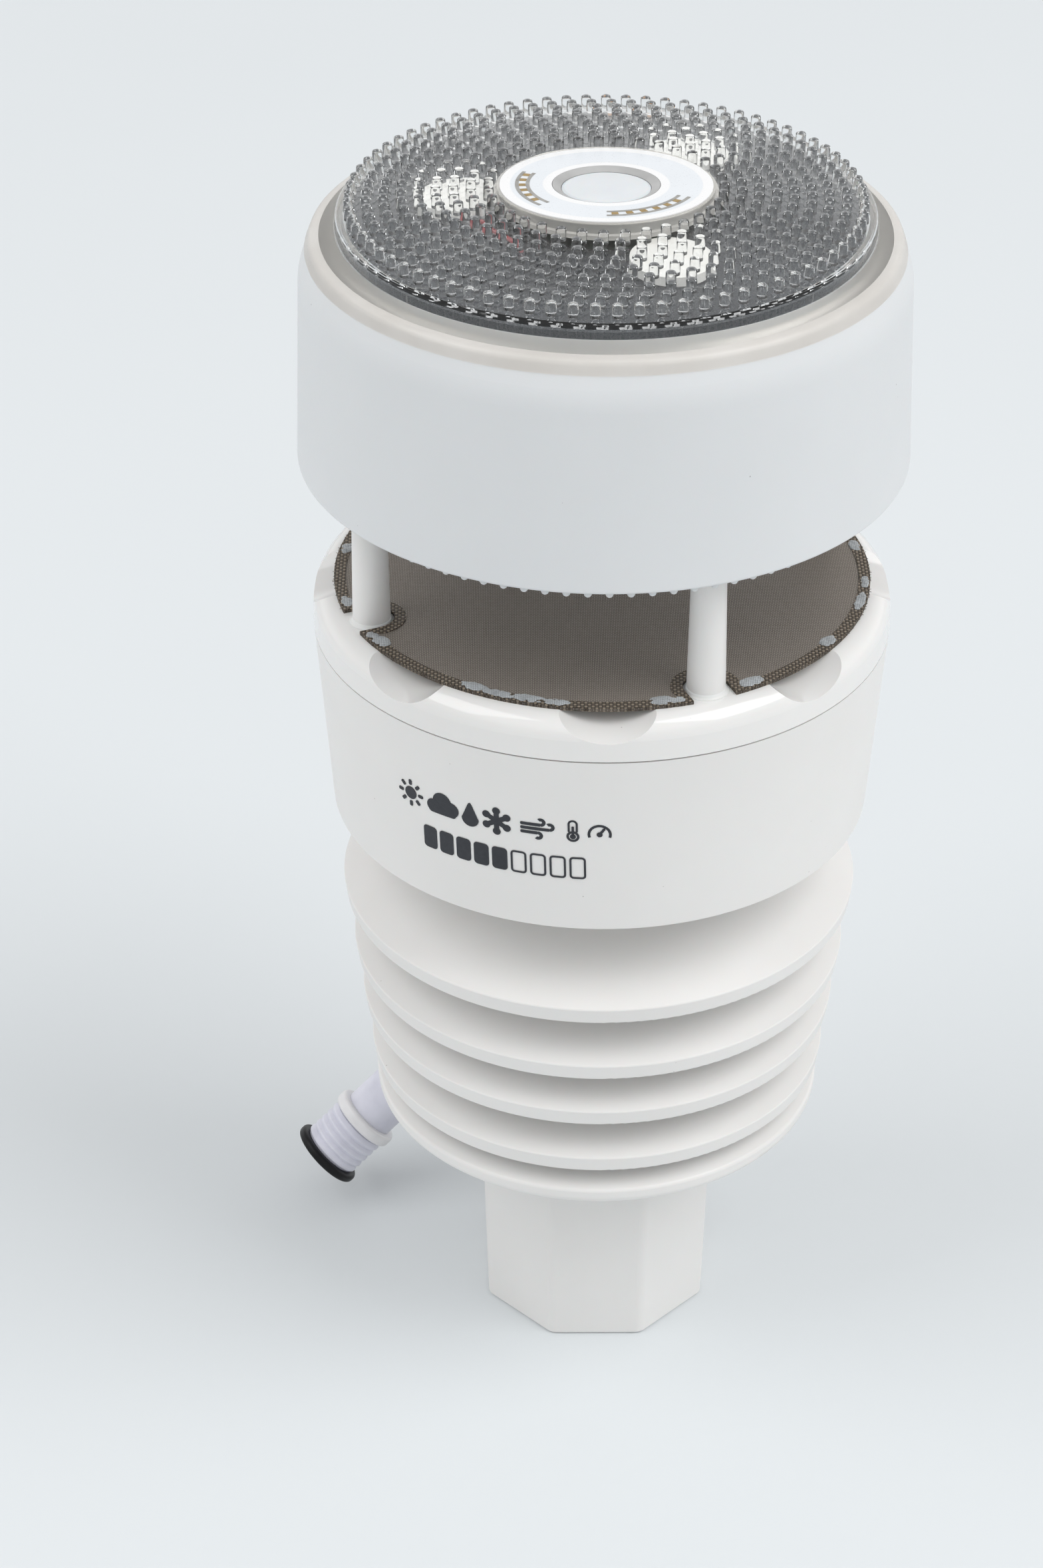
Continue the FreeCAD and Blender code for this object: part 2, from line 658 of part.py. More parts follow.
heater_outer = rod("heater_outer", "45.5", "0.5", ("0", "0", deck_under + " - 0.55"))
heater_inner = rod("heater_inner", "34.0", "3", ("0", "0", deck_under + " - 2"))
keep(without("deck_heater", heater_outer, heater_inner), "deck_heater")

# ---------------------------------------------------------------- posts

for number in range(4):
    name = "post_%d" % (number + 1)
    body = turned(name, "post_foot", [
        ("1.3", "0"),
        ("post_foot_radius", "0"),
        ("post_foot_radius", "6.0"),
        ("post_top_radius", "post_top - post_foot - 0.02"),
        ("spigot_radius", "post_top - post_foot - 0.02"),
        ("spigot_radius", "post_top - post_foot + 4.0"),
        ("1.3", "post_top - post_foot + 4.0"),
    ])
    seat(body, "post_foot", *polar("post_reach", size("post_angle") + 90.0 * number))
    keep(body, name)

# ---------------------------------------------------------------- head

base_disc = turned("base_disc", "base_plate_seat", [
    ("0", "0"),
    ("base_plate_radius", "0"),
    ("base_plate_radius", "base_plate_thickness"),
    ("0", "base_plate_thickness"),
], rounds=[("base_plate_radius", "0", "0.4")])
post_bosses = ring_of_rods("post_boss", 4, size("post_angle"), "post_reach", "5.0", "base_plate_seat + 1",
                           "base_plate_seat + 5.5")
base_solid = joined("base_solid", [base_disc] + post_bosses)
base_holes = ring_of_rods("post_spigot_hole", 4, size("post_angle"), "post_reach", "spigot_radius + 0.05",
                          "base_plate_seat - 1", "base_plate_seat + 4.1")
base_holes += ring_of_rods("post_screw_hole", 4, size("post_angle"), "post_reach", "1.5",
                           "base_plate_seat + 3", "base_plate_seat + 7")
keep(without("head_base_plate", base_solid, joined("base_hole_tool", base_holes)), "head_base_plate")

post_screws = []
post_shanks = ring_of_rods("post_shank", 4, size("post_angle"), "post_reach", "1.2",
                           "base_plate_seat - 8", "base_plate_seat + 6")
for number, shank in enumerate(post_shanks):
    x, y = polar("post_reach", size("post_angle") + 90.0 * number)
    head = rod("post_head_%d" % (number + 1), "2.8", "1.8", (x, y, "base_plate_seat + 5.55"))
    post_screws.append(joined("post_screw_%d" % (number + 1), [shank, head]))
keep(grouped("post_screws", post_screws), "post_screws")

shell_body = turned("shell", "shell_seat", [
    ("shell_foot - shell_wall", "0"),
    ("shell_foot", "0"),
    ("shell_shoulder", "shell_shoulder_height"),
    ("shell_rim", "shell_height"),
    ("shell_rim - 1.0", "shell_height"),
    ("shell_rim - 1.1", "ledge_height + ledge_thickness"),
    ("ledge_inner", "ledge_height + ledge_thickness"),
    ("ledge_inner", "ledge_height"),
    ("shell_shoulder - shell_wall - 0.4", "ledge_height"),
    ("shell_shoulder - shell_wall", "shell_shoulder_height - 3"),
], rounds=[("shell_shoulder", "shell_shoulder_height", "14"), ("shell_rim", "shell_height", "1.2"),
           ("shell_foot", "0", "0.6")])
keep(shell_body, "head_shell")

board_form = rod("head_board_form", "40", "1.6", ("0", "0", "244"))
keep(board_form, "head_board")

carrier = turned("carrier", "shell_seat + ledge_height", [
    ("14.0", "1.0"),
    ("ledge_inner - 0.3", "1.0"),
    ("ledge_inner - 0.3", "5.8"),
    ("panel_inner - 0.5", "5.8"),
    ("panel_inner - 0.5", "3.0"),
    ("14.0", "3.0"),
])
keep(carrier, "panel_carrier")

panel_outer = rod("panel_disc", "panel_outer", "panel_thickness", ("0", "0", "panel_seat"))
panel_inner = rod("panel_hole", "panel_inner", "6", ("0", "0", "panel_seat - 2"))
keep(without("solar_panel", panel_outer, panel_inner), "solar_panel")

# The three discs are stuck close under the cover, so each leans outward with the dome's own slope.
DISC_ANGLES = (-66.0, 54.0, 174.0)
dome_fall = size("disc_reach") ** 2 / (2 * size("dome_curve"))
cover_under = size("cover_seat") + size("dome_top_height") - size("cover_thickness")
disc_top = cover_under - dome_fall - size("disc_gap")
disc_lean = math.degrees(size("disc_reach") / size("dome_curve"))
discs = []
for number, angle in enumerate(DISC_ANGLES, start=1):
    disc = rod("disc_%d" % number, "disc_radius", "disc_height")
    leaning = Placement(Vector(size("disc_reach"), 0, disc_top), Rotation(Vector(0, 1, 0), disc_lean))
    around = Placement(Vector(0, 0, 0), Rotation(Vector(0, 0, 1), angle))
    disc.Placement = around * leaning * Placement(Vector(0, 0, -size("disc_height")), Rotation())
    discs.append(disc)
keep(grouped("rain_sensor_discs", discs), "rain_sensor_discs")

cover_gasket = turned("cover_gasket_ring", "shell_seat + ledge_height + ledge_thickness + 0.02", [
    ("53.2", "0"),
    ("56.4", "0"),
    ("56.4", "0.85"),
    ("53.2", "0.85"),
])
keep(cover_gasket, "cover_gasket")


def rain_cover_shape():
    """The clear cover: a sloping seat, a short upright border and a very shallow dome with a hole."""
    edge, top = size("dome_edge"), size("dome_top_height")
    hole, curve, wall = size("dome_hole"), size("dome_curve"), size("cover_thickness")

    def dome(radius, drop=0.0):
        return Vector(radius, 0, top - radius ** 2 / (2 * curve) - drop)

    border = [
        Vector(53.2, 0, 0),
        Vector(size("cover_radius"), 0, 0),
        Vector(size("cover_radius"), 0, 2.2),
        Vector(edge + 0.75, 0, 4.0),
        Vector(edge + 0.5, 0, dome(edge).z - 0.55),
        Vector(edge + 0.3, 0, dome(edge).z - 0.2),
        dome(edge),
    ]
    middle = 0.5 * (edge + hole)
    lines = [Part.makeLine(start, end) for start, end in zip(border, border[1:])]
    lines.append(Part.Arc(dome(edge), dome(middle), dome(hole)).toShape())
    lines.append(Part.makeLine(dome(hole), dome(hole, wall)))
    inner = edge - 1.2
    lines.append(Part.Arc(dome(hole, wall), dome(0.5 * (inner + hole), wall), dome(inner, wall)).toShape())
    inside = [dome(inner, wall), Vector(inner + 0.7, 0, 3.4), Vector(53.2, 0, 1.8), border[0]]
    lines += [Part.makeLine(start, end) for start, end in zip(inside, inside[1:])]
    face = Part.Face(Part.Wire(lines))
    return face.revolve(Vector(0, 0, 0), Vector(0, 0, 1), 360)


rain_cover = doc.addObject("Part::Feature", "rain_cover_form")
rain_cover.Shape = rain_cover_shape()
rain_cover.Placement = Placement(Vector(0, 0, size("cover_seat")), Rotation())
keep(rain_cover, "rain_cover")

# The puck's foot lies along the dome. Its top leans back, so that water runs off the detector board.
leaning_back = Rotation(Vector(1, 0, 0), -size("rain_board_tilt"))
board_centre = Vector(0, 0, size("rain_board_height"))


def leaning(thing, drop):
    """Set a piece made from z = 0 upwards at a depth under the detector board's leaning top."""
    thing.Placement = Placement(board_centre, leaning_back) * Placement(Vector(0, 0, -drop), Rotation())
    return thing


def unbound(body):
    """Free a turned body from its seat, so that it can be placed at a lean."""
    for axis in "xyz":
        body.setExpression("Placement.Base." + axis, None)
    return body


puck_blank = turned("puck", "puck_seat", [
    ("dome_hole - 1.5", "0.3"),
    ("dome_hole", "0.3"),
    ("puck_foot", "0.02"),
    ("puck_foot", "0.9"),
    ("puck_radius", "1.1"),
    ("puck_radius", "8"),
    ("dome_hole - 1.5", "8"),
])
above_board = leaning(rod("above_board", "40", "20"), 0.15)
pocket_depth = size("rain_board_thickness") + 0.05
board_pocket = leaning(rod("board_pocket", "rain_board_radius + 0.1", "20"), pocket_depth)
keep(without("puck_housing", puck_blank, joined("puck_tool", [above_board, board_pocket])), "puck_housing")
rain_board_disc = rod("rain_board_disc", "rain_board_radius", "rain_board_thickness")
rain_board_hole = rod("rain_board_hole", "light_ring_radius + 0.1", "4")
rain_board = without("rain_board", rain_board_disc, rain_board_hole)
keep(leaning(rain_board, size("rain_board_thickness")), "rain_detector_board")
light_ring = unbound(turned("light_ring_body", "0", [
    ("diffuser_radius + 0.1", "0"),
    ("light_ring_radius", "0"),
    ("light_ring_radius", "1.6"),
    ("diffuser_radius + 0.1", "0.9"),
]))
keep(leaning(light_ring, 1.6), "light_ring")
diffuser = unbound(turned("diffuser", "0", [
    ("0", "0"),
    ("diffuser_radius", "0"),
    ("diffuser_radius", "0.8"),
    ("diffuser_radius - 0.5", "1.0"),
    ("0", "1.1"),
]))
keep(leaning(diffuser, 1.6), "light_diffuser")
keep(rod("light_board", "dome_hole - 2.5", "1.2", ("0", "0", "light_board_seat")), "light_sensor_board")

# ---------------------------------------------------------------- power pigtail

# The route of the cable from the gland's mouth to the boot of the connector.
ROUTE = [
    Vector(-6.3, 38.6, 51.7),
    Vector(-11.4, 39.0, 47.4),
    Vector(-17.6, 39.0, 44.9),
    Vector(-24.3, 38.4, 44.4),
    Vector(-30.4, 37.2, 41.9),
    Vector(-35.2, 35.8, 37.4),
]
ARC_SHARE = 0.45


def cable_path(points):
    """Straight runs joined by tangent arcs, each as large as its two runs allow."""
    edges = []
    start = points[0]
    for before, corner, after in zip(points, points[1:], points[2:]):
        inward = (corner - before).normalize()
        outward = (after - corner).normalize()
        half_turn = 0.5 * inward.getAngle(outward)
        reach = ARC_SHARE * min((corner - before).Length, (after - corner).Length)
        radius = reach / math.tan(half_turn)
        first = corner - inward * reach
        last = corner + outward * reach
        towards = (outward - inward).normalize()
        middle = corner + towards * (radius / math.cos(half_turn) - radius)
        edges.append(Part.LineSegment(start, first).toShape())
        edges.append(Part.Arc(first, middle, last).toShape())
        start = last
        print("cable arc radius %.1f mm" % radius)
    edges.append(Part.LineSegment(start, points[-1]).toShape())
    return Part.Wire(edges)


path = cable_path(ROUTE)
first_way = (ROUTE[1] - ROUTE[0]).normalize()
last_way = (ROUTE[-1] - ROUTE[-2]).normalize()
section = Part.Wire(Part.makeCircle(size("cable_radius"), ROUTE[0], first_way))
cable = doc.addObject("Part::Feature", "cable_form")
cable.Shape = path.makePipeShell([section], True, False)
cable.Placement = Placement(Vector(0, 0, 0), Rotation())
keep(cable, "pigtail_cable")
print("cable length %.1f mm, volume %.1f, section times length %.1f" % (
    path.Length, cable.Shape.Volume, math.pi * size("cable_radius") ** 2 * path.Length))

# The gland is moulded at a slant, so that the cable leaves it sideways. Its flange is flush with the plate.
gland_axis = Rotation(Vector(0, 0, 1), first_way)
gland_barrel = rod("gland_barrel", "gland_radius", "20")
gland_barrel.Placement = Placement(ROUTE[0] - first_way * 20, gland_axis)
gland_nut = rod("gland_nut", "gland_radius + 0.9", "3.4")
gland_nut.Placement = Placement(ROUTE[0] - first_way * 4.4, gland_axis)
base_point = ROUTE[0] - first_way * ((size("plate_seat") - ROUTE[0].z) / -first_way.z)
gland_flange = rod("gland_flange", "gland_radius + 2.2", "1.4")
gland_flange.Placement = Placement(Vector(base_point.x, base_point.y, size("plate_seat") - 1.45), Rotation())
gland_form = joined("gland_form", [gland_barrel, gland_nut, gland_flange])
above = block("above_plate_underside", "80", "80", "40", ("0 - 40", "0", "plate_seat - 0.05"))
keep(without("cable_gland", gland_form, above), "cable_gland")

# The connector is made standing on its tip and then laid along the cable's end.
tip = ROUTE[-1] + last_way * (size("connector_length") + 9.0)
lying = Placement(tip, Rotation(Vector(0, 0, 1), last_way * -1))


def on_connector(name, outline, rounds=()):
    """A turned piece of the connector, with its heights counted from the tip."""
    body = unbound(turned(name + "_form", "0", outline, rounds))
    body.Placement = lying
    return keep(body, name)


thread = []
THREAD_TURNS = 5
THREAD_PITCH = 1.9
for turn in range(THREAD_TURNS):
    low = 2.2 + THREAD_PITCH * turn
    thread += [
        ("thread_radius - 0.45", "%.2f" % low),
        ("thread_radius", "%.2f" % (low + 0.6)),
        ("thread_radius", "%.2f" % (low + 1.1)),
    ]
on_connector("connector_body", [
    ("0", "9.0"),
    ("5.2", "9.0"),
    ("5.2", "0"),
    ("6.75", "0"),
    ("6.75", "2.2"),
] + thread + [
    ("thread_radius - 0.45", "11.8"),
    ("connector_radius", "12.0"),
    ("connector_radius", "connector_length"),
    ("0", "connector_length"),
], rounds=[("connector_radius", "connector_length", "1.0")])
on_connector("connector_ring", [
    ("connector_radius + 0.02", "12.3"),
    ("8.1", "12.3"),
    ("8.1", "15.2"),
    ("connector_radius + 0.02", "15.2"),
], rounds=[("8.1", "12.3", "0.8"), ("8.1", "15.2", "0.8")])
on_connector("connector_seal", [
    ("6.8", "0"),
    ("seal_radius", "0"),
    ("seal_radius", "2.1"),
    ("6.8", "2.1"),
], rounds=[("seal_radius", "0", "0.8"), ("seal_radius", "2.1", "0.8")])
on_connector("connector_boot", [
    ("0", "connector_length + 0.03"),
    ("5.0", "connector_length + 0.03"),
    ("3.1", "connector_length + 9.0"),
    ("0", "connector_length + 9.0"),
])
pins = []
for side in (-1, 1):
    pin = rod("pin_%d" % (side + 2), "0.9", "7.0")
    pin.Placement = lying * Placement(Vector(2.0 * side, 0, 1.98), Rotation())
    pins.append(pin)
keep(grouped("connector_pins", pins), "connector_pins")

# ---------------------------------------------------------------- check and write

doc.recompute()
faults = []
for thing in doc.Objects:
    if "Invalid" in thing.State or "Error" in thing.State:
        faults.append("%s is %s" % (thing.Label, thing.State))
for name, thing in parts.items():
    shape = thing.Shape
    if shape.isNull() or not shape.isValid() or not shape.Solids:
        faults.append("%s has no valid solid" % name)
if faults:
    raise SystemExit("\n".join(faults))
for name, thing in parts.items():
    thing.Shape.exportStep("parts/%s.step" % name)
whole = Part.makeCompound([thing.Shape for thing in parts.values()]).BoundBox
print("%d sub-parts, %.1f x %.1f x %.1f mm" % (len(parts), whole.XLength, whole.YLength, whole.ZLength))
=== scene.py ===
import math
import random

import bpy
from mathutils import Matrix, Vector


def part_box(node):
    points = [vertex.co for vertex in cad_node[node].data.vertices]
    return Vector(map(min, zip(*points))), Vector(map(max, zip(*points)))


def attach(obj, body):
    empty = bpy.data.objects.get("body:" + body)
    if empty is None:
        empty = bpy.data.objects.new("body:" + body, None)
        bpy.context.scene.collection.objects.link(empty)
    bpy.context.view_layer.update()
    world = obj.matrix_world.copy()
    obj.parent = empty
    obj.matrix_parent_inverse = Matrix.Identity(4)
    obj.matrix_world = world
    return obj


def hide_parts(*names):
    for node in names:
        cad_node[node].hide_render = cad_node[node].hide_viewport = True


# A compact all-in-one weather sensor for a pole, standing on the octagonal stub that slides over its
# mast. The file follows the object from the foot up, after the camera and the power pigtail.

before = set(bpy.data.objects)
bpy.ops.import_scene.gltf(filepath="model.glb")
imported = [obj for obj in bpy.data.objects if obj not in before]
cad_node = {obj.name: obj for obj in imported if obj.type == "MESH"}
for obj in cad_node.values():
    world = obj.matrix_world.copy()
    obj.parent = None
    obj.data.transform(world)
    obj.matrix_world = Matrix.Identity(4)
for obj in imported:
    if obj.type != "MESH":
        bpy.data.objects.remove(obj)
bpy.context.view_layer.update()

# ---------------------------------------------------------------- camera
# A long lens looks down on the sensor from just left of its front, from standing height over a table.
# It has no shift and no depth of field.

LENS = 85.0
CAMERA_PLACE = Vector((-0.0175, -0.6688, 0.5591))
CAMERA_HEADING = math.radians(-0.07)
CAMERA_DOWN = math.radians(32.498)
CAMERA_ROLL = math.radians(-0.101)

bpy.ops.object.select_all(action="DESELECT")
bpy.ops.object.camera_add()
camera = bpy.context.object
camera.data.lens = LENS
camera.data.sensor_width = 36.0
camera.matrix_world = (
    Matrix.Translation(CAMERA_PLACE)
    @ Matrix.Rotation(CAMERA_HEADING, 4, "Z")
    @ Matrix.Rotation(math.pi / 2.0 - CAMERA_DOWN, 4, "X")
    @ Matrix.Rotation(CAMERA_ROLL, 4, "Z")
)
bpy.context.scene.camera = camera

# ---------------------------------------------------------------- power pigtail
# A short stiff lead with a white PVC jacket leaves the slanted gland under the shield and carries a
# waterproof power connector: a boot, a threaded nylon body, a collar ring and a black rubber seal.


def finish(name, **even):
    """A new finish: its material, node tree and shader, with what is the same all over set on the shader."""
    made = bpy.data.materials.new(name)
    made.use_nodes = True
    shader = made.node_tree.nodes["Principled BSDF"]
    for word, value in even.items():
        shader.inputs[word.replace("_", " ")].default_value = value
    return made, made.node_tree, shader


def place(tree, kind, options=None, **sockets):
    """Add a shader node, set its options, and fill its sockets with values or with other nodes' outputs."""
    made = tree.nodes.new("ShaderNode" + kind)
    for word, value in (options or {}).items():
        setattr(made, word, value)
    for word, value in sockets.items():
        fill(tree, made.inputs[word.replace("_", " ")], value)
    return made


def fill(tree, socket, value):
    """Set one socket to a value, or link another node's output to it."""
    if isinstance(value, bpy.types.NodeSocket):
        tree.links.new(value, socket)
    else:
        socket.default_value = value


def sum_of(tree, operation, first, second=0.0):
    """The result of one Math node."""
    made = tree.nodes.new("ShaderNodeMath")
    made.operation = operation
    fill(tree, made.inputs[0], first)
    fill(tree, made.inputs[1], second)
    return made.outputs[0]


def ranged(tree, value, low, high, out_low=0.0, out_high=1.0):
    """One varying value stretched from one range to another, and held inside it."""
    made = place(tree, "MapRange", Value=value, From_Min=low, From_Max=high, To_Min=out_low, To_Max=out_high)
    return made.outputs["Result"]


def tones(tree, value, first, last, at=1.0):
    """A colour that goes from one tone to another as the value rises from 0, and stays there after."""
    made = place(tree, "ValToRGB", Fac=value)
    start_tone, end_tone = made.color_ramp.elements
    start_tone.color = (*first, 1.0)
    end_tone.position, end_tone.color = at, (*last, 1.0)
    return made.outputs["Color"]


def over(tree, mask, under, upper):
    """The upper colour laid over the lower one where the mask is 1."""
    made = tree.nodes.new("ShaderNodeMix")
    made.data_type = "RGBA"
    fill(tree, made.inputs[0], mask)
    for socket, value in ((made.inputs[6], under), (made.inputs[7], upper)):
        fill(tree, socket, value if isinstance(value, bpy.types.NodeSocket) else (*value, 1.0))
    return made.outputs[2]


def effect(name, inputs, outputs):
    """An empty node group with float or vector inputs and float outputs, and its two ends."""
    group = bpy.data.node_groups.new(name, "ShaderNodeTree")
    for word, kind in inputs.items():
        group.interface.new_socket(word, in_out="INPUT", socket_type="NodeSocket" + kind)
    for word in outputs:
        group.interface.new_socket(word, in_out="OUTPUT", socket_type="NodeSocketFloat")
    return group, group.nodes.new("NodeGroupInput").outputs, group.nodes.new("NodeGroupOutput").inputs


# Moulded plastic: a slow drift of tone across the part and the fine grain of a spark-eroded mould.
moulding, given, result = effect(
    "moulded_grain", {"Place": "Vector", "Drift": "Float", "Grain": "Float"}, ("Tone", "Relief"))
drift = place(moulding, "TexNoise", Vector=given["Place"], Scale=given["Drift"], Detail=3.0, Roughness=0.55)
grain = place(moulding, "TexNoise", Vector=given["Place"], Scale=given["Grain"], Detail=2.0, Roughness=0.6)
fill(moulding, result["Tone"], ranged(moulding, drift.outputs["Fac"], 0.3, 0.7))
fill(moulding, result["Relief"], grain.outputs["Fac"])

# Handling marks: rare dust specks, and faint short hairline scratches.
DUST = (0.10, 0.09, 0.08)
marking, given, result = effect(
    "handling_marks", {"Place": "Vector", "Spacing": "Float"}, ("Speck", "Scratch"))
cells = place(marking, "TexVoronoi", Vector=given["Place"], Scale=given["Spacing"], Randomness=1.0)
lot = place(marking, "SeparateColor", Color=cells.outputs["Color"])
near = ranged(marking, cells.outputs["Distance"], 0.02, 0.045, 1.0, 0.0)
chosen = ranged(marking, lot.outputs[0], 0.80, 0.82)
fill(marking, result["Speck"], sum_of(marking, "MULTIPLY", near, chosen))
streaks = place(
    marking, "Mapping", Vector=given["Place"], Rotation=(0.3, 0.5, 0.9), Scale=(40.0, 900.0, 900.0))
hair = place(marking, "TexNoise", Vector=streaks.outputs["Vector"], Scale=1.0, Detail=1.0)
fill(marking, result["Scratch"], ranged(marking, hair.outputs["Fac"], 0.70, 0.74))


def grain_of(tree, drift, grain):
    """This material's own drift of tone and mould grain, and the place they are read at."""
    spot = place(tree, "TexCoord").outputs["Object"]
    made = place(tree, "Group", {"node_tree": moulding}, Place=spot, Drift=drift, Grain=grain)
    return spot, made.outputs["Tone"], made.outputs["Relief"]


def relief(tree, shader, height, strength, distance):
    """Raise the surface by a varying height."""
    bump = place(tree, "Bump", Strength=strength, Distance=distance, Height=height)
    tree.links.new(bump.outputs["Normal"], shader.inputs["Normal"])


def broken_gloss(tree, shader, fine, smooth, rough):
    """A roughness that the finish's own grain varies between two values."""
    fill(tree, shader.inputs["Roughness"], ranged(tree, fine, 0.3, 0.7, smooth, rough))


def opaque(name, dark, light, rough, drift=28.0, grain=2600.0, depth=0.00002, strength=0.35, specks=0.0,
           **even):
    """An opaque plastic, rubber or metal: two close tones, a grain that breaks its gloss, and dust specks."""
    made, tree, shader = finish(name, **even)
    spot, tone, fine = grain_of(tree, drift, grain)
    colour = tones(tree, tone, dark, light)
    if specks:
        marks = place(tree, "Group", {"node_tree": marking}, Place=spot, Spacing=specks)
        colour = over(tree, sum_of(tree, "MULTIPLY", marks.outputs["Speck"], 0.5), colour, DUST)
    fill(tree, shader.inputs["Base Color"], colour)
    broken_gloss(tree, shader, fine, rough - 0.05, rough + 0.05)
    relief(tree, shader, fine, strength, depth)
    return made


def dress(material, *names):
    """Give a finish to carried-over CAD nodes, in each of their slots."""
    for name in names:
        for socket in cad_node[name].material_slots:
            socket.material = material


def paint(piece, material):
    """Give a finish to a new piece."""
    piece.data.materials.clear()
    piece.data.materials.append(material)


def start(kind, name, **settings):
    """Deselect everything and add one primitive to model from."""
    bpy.ops.object.select_all(action="DESELECT")
    getattr(bpy.ops.mesh, "primitive_%s_add" % kind)(**settings)
    bpy.context.object.name = name
    return bpy.context.object


def only(*pieces):
    """Select these pieces and nothing else, with the first one active."""
    bpy.ops.object.select_all(action="DESELECT")
    for piece in pieces:
        piece.select_set(True)
    bpy.context.view_layer.objects.active = pieces[0]


def settle(piece):
    """Put the piece's origin at 0, with its place, turn and size in its mesh."""
    only(piece)
    bpy.ops.object.transform_apply(location=True, rotation=True, scale=True)


def fitted(piece, body, material, smooth=35.0):
    """The last steps of a new piece: smooth shading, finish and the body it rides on."""
    settle(piece)
    bpy.ops.object.shade_smooth_by_angle(angle=math.radians(smooth))
    paint(piece, material)
    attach(piece, body)


def round_lead(name, route, thickness, roundness):
    """A lead of even thickness on one smooth line, which the points of its route steer."""
    line = bpy.data.curves.new(name, "CURVE")
    line.dimensions = "3D"
    strand = line.splines.new("NURBS")
    strand.points.add(len(route) - 1)
    for point, spot in zip(strand.points, route):
        point.co = (*spot, 1.0)
    strand.order_u = 3
    strand.use_endpoint_u = True
    line.resolution_u = 12
    line.bevel_depth = thickness / 2.0
    line.bevel_resolution = roundness
    line.use_fill_caps = True
    made = bpy.data.objects.new(name, line)
    bpy.context.scene.collection.objects.link(made)
    return made


LEAD_DIAMETER = 0.004
LEAD_ROUTE = [
    (-0.0063, 0.0386, 0.0517),
    (-0.0114, 0.0390, 0.0474),
    (-0.0176, 0.0390, 0.0449),
    (-0.0243, 0.0384, 0.0444),
    (-0.0304, 0.0372, 0.0419),
    (-0.0352, 0.0358, 0.0374),
]
lead = round_lead("pigtail_lead", LEAD_ROUTE, LEAD_DIAMETER, 5)

jacket = opaque(
    "white_jacket", (0.66, 0.67, 0.69), (0.75, 0.76, 0.78), 0.42, drift=160.0, grain=5200.0,
    Subsurface_Weight=0.08, Subsurface_Scale=0.001)
paint(lead, jacket)
dress(jacket, "connector_boot")

nylon = opaque(
    "clear_nylon", (0.60, 0.60, 0.68), (0.72, 0.72, 0.80), 0.33, drift=120.0, grain=3600.0,
    Subsurface_Weight=0.3, Subsurface_Radius=(0.9, 0.9, 1.0), Subsurface_Scale=0.002)
dress(nylon, "connector_body")

ring_nylon = opaque("ring_nylon", (0.70, 0.69, 0.70), (0.80, 0.79, 0.80), 0.36, drift=150.0, grain=3600.0)
dress(ring_nylon, "connector_ring")

seal_rubber = opaque(
    "black_seal_rubber", (0.004, 0.004, 0.005), (0.010, 0.010, 0.011), 0.38, drift=400.0, grain=6000.0,
    depth=0.00004, Specular_IOR_Level=0.2)
dress(seal_rubber, "connector_seal")

brass = opaque("brass_pins", (0.52, 0.38, 0.16), (0.68, 0.52, 0.24), 0.28, drift=900.0, Metallic=1.0)
dress(brass, "connector_pins")

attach(lead, "sensor")
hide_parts("pigtail_cable")

# ---------------------------------------------------------------- mast stub and battery bay
# The octagonal stub is one ASA moulding with a slight draft. Its rear flat carries the battery door on
# two pins, held by a quarter-turn latch, over two wrapped cells in a cradle with spring contacts.

ivory = opaque(
    "ivory_satin", (0.758, 0.746, 0.728), (0.790, 0.779, 0.762), 0.40, drift=22.0, specks=260.0,
    Subsurface_Weight=0.06, Subsurface_Scale=0.002)
dress(ivory, "mast_stub", "battery_door", "door_latch", "battery_holder")

WRAP_BAND_Z = 0.0415
WRAP_END_Z = 0.0532
wrap, tree, shader = finish("battery_wrap")
spot, tone, fine = grain_of(tree, 90.0, 3000.0)
height = place(tree, "SeparateXYZ", Vector=spot).outputs["Z"]
band = ranged(tree, height, WRAP_BAND_Z, WRAP_BAND_Z + 0.0003)
cap = ranged(tree, height, WRAP_END_Z, WRAP_END_Z + 0.0002)
wrapped = tones(tree, tone, (0.012, 0.055, 0.030), (0.018, 0.075, 0.042))
banded = over(tree, band, wrapped, (0.62, 0.60, 0.56))
fill(tree, shader.inputs["Base Color"], over(tree, cap, banded, (0.58, 0.57, 0.55)))
fill(tree, shader.inputs["Metallic"], cap)
broken_gloss(tree, shader, fine, 0.18, 0.30)
relief(tree, shader, tone, 0.2, 0.00005)
dress(wrap, "battery_1", "battery_2")

spring_steel = opaque(
    "contact_steel", (0.50, 0.49, 0.46), (0.66, 0.65, 0.62), 0.30, drift=300.0, grain=1500.0, Metallic=1.0)
dress(spring_steel, "battery_contacts")

# ---------------------------------------------------------------- bottom plate with its buttons
# The shield's rounded bottom plate is the same ASA. Two rubber-grey buttons and a clear status light
# sit in holes through it, under a small switch board, beside the slanted cable gland.

dress(ivory, "bottom_plate", "cable_gland")

button_rubber = opaque(
    "button_grey", (0.22, 0.22, 0.225), (0.28, 0.28, 0.285), 0.55, drift=300.0, grain=4500.0, depth=0.00004)
dress(button_rubber, "calibrate_button", "reset_button")

status_lens, tree, shader = finish("lens_clear", Transmission_Weight=1.0, IOR=1.49)
spot, tone, fine = grain_of(tree, 400.0, 4000.0)
fill(tree, shader.inputs["Base Color"], tones(tree, tone, (0.90, 0.93, 0.95), (0.97, 0.98, 0.99)))
broken_gloss(tree, shader, fine, 0.06, 0.16)
dress(status_lens, "status_light")

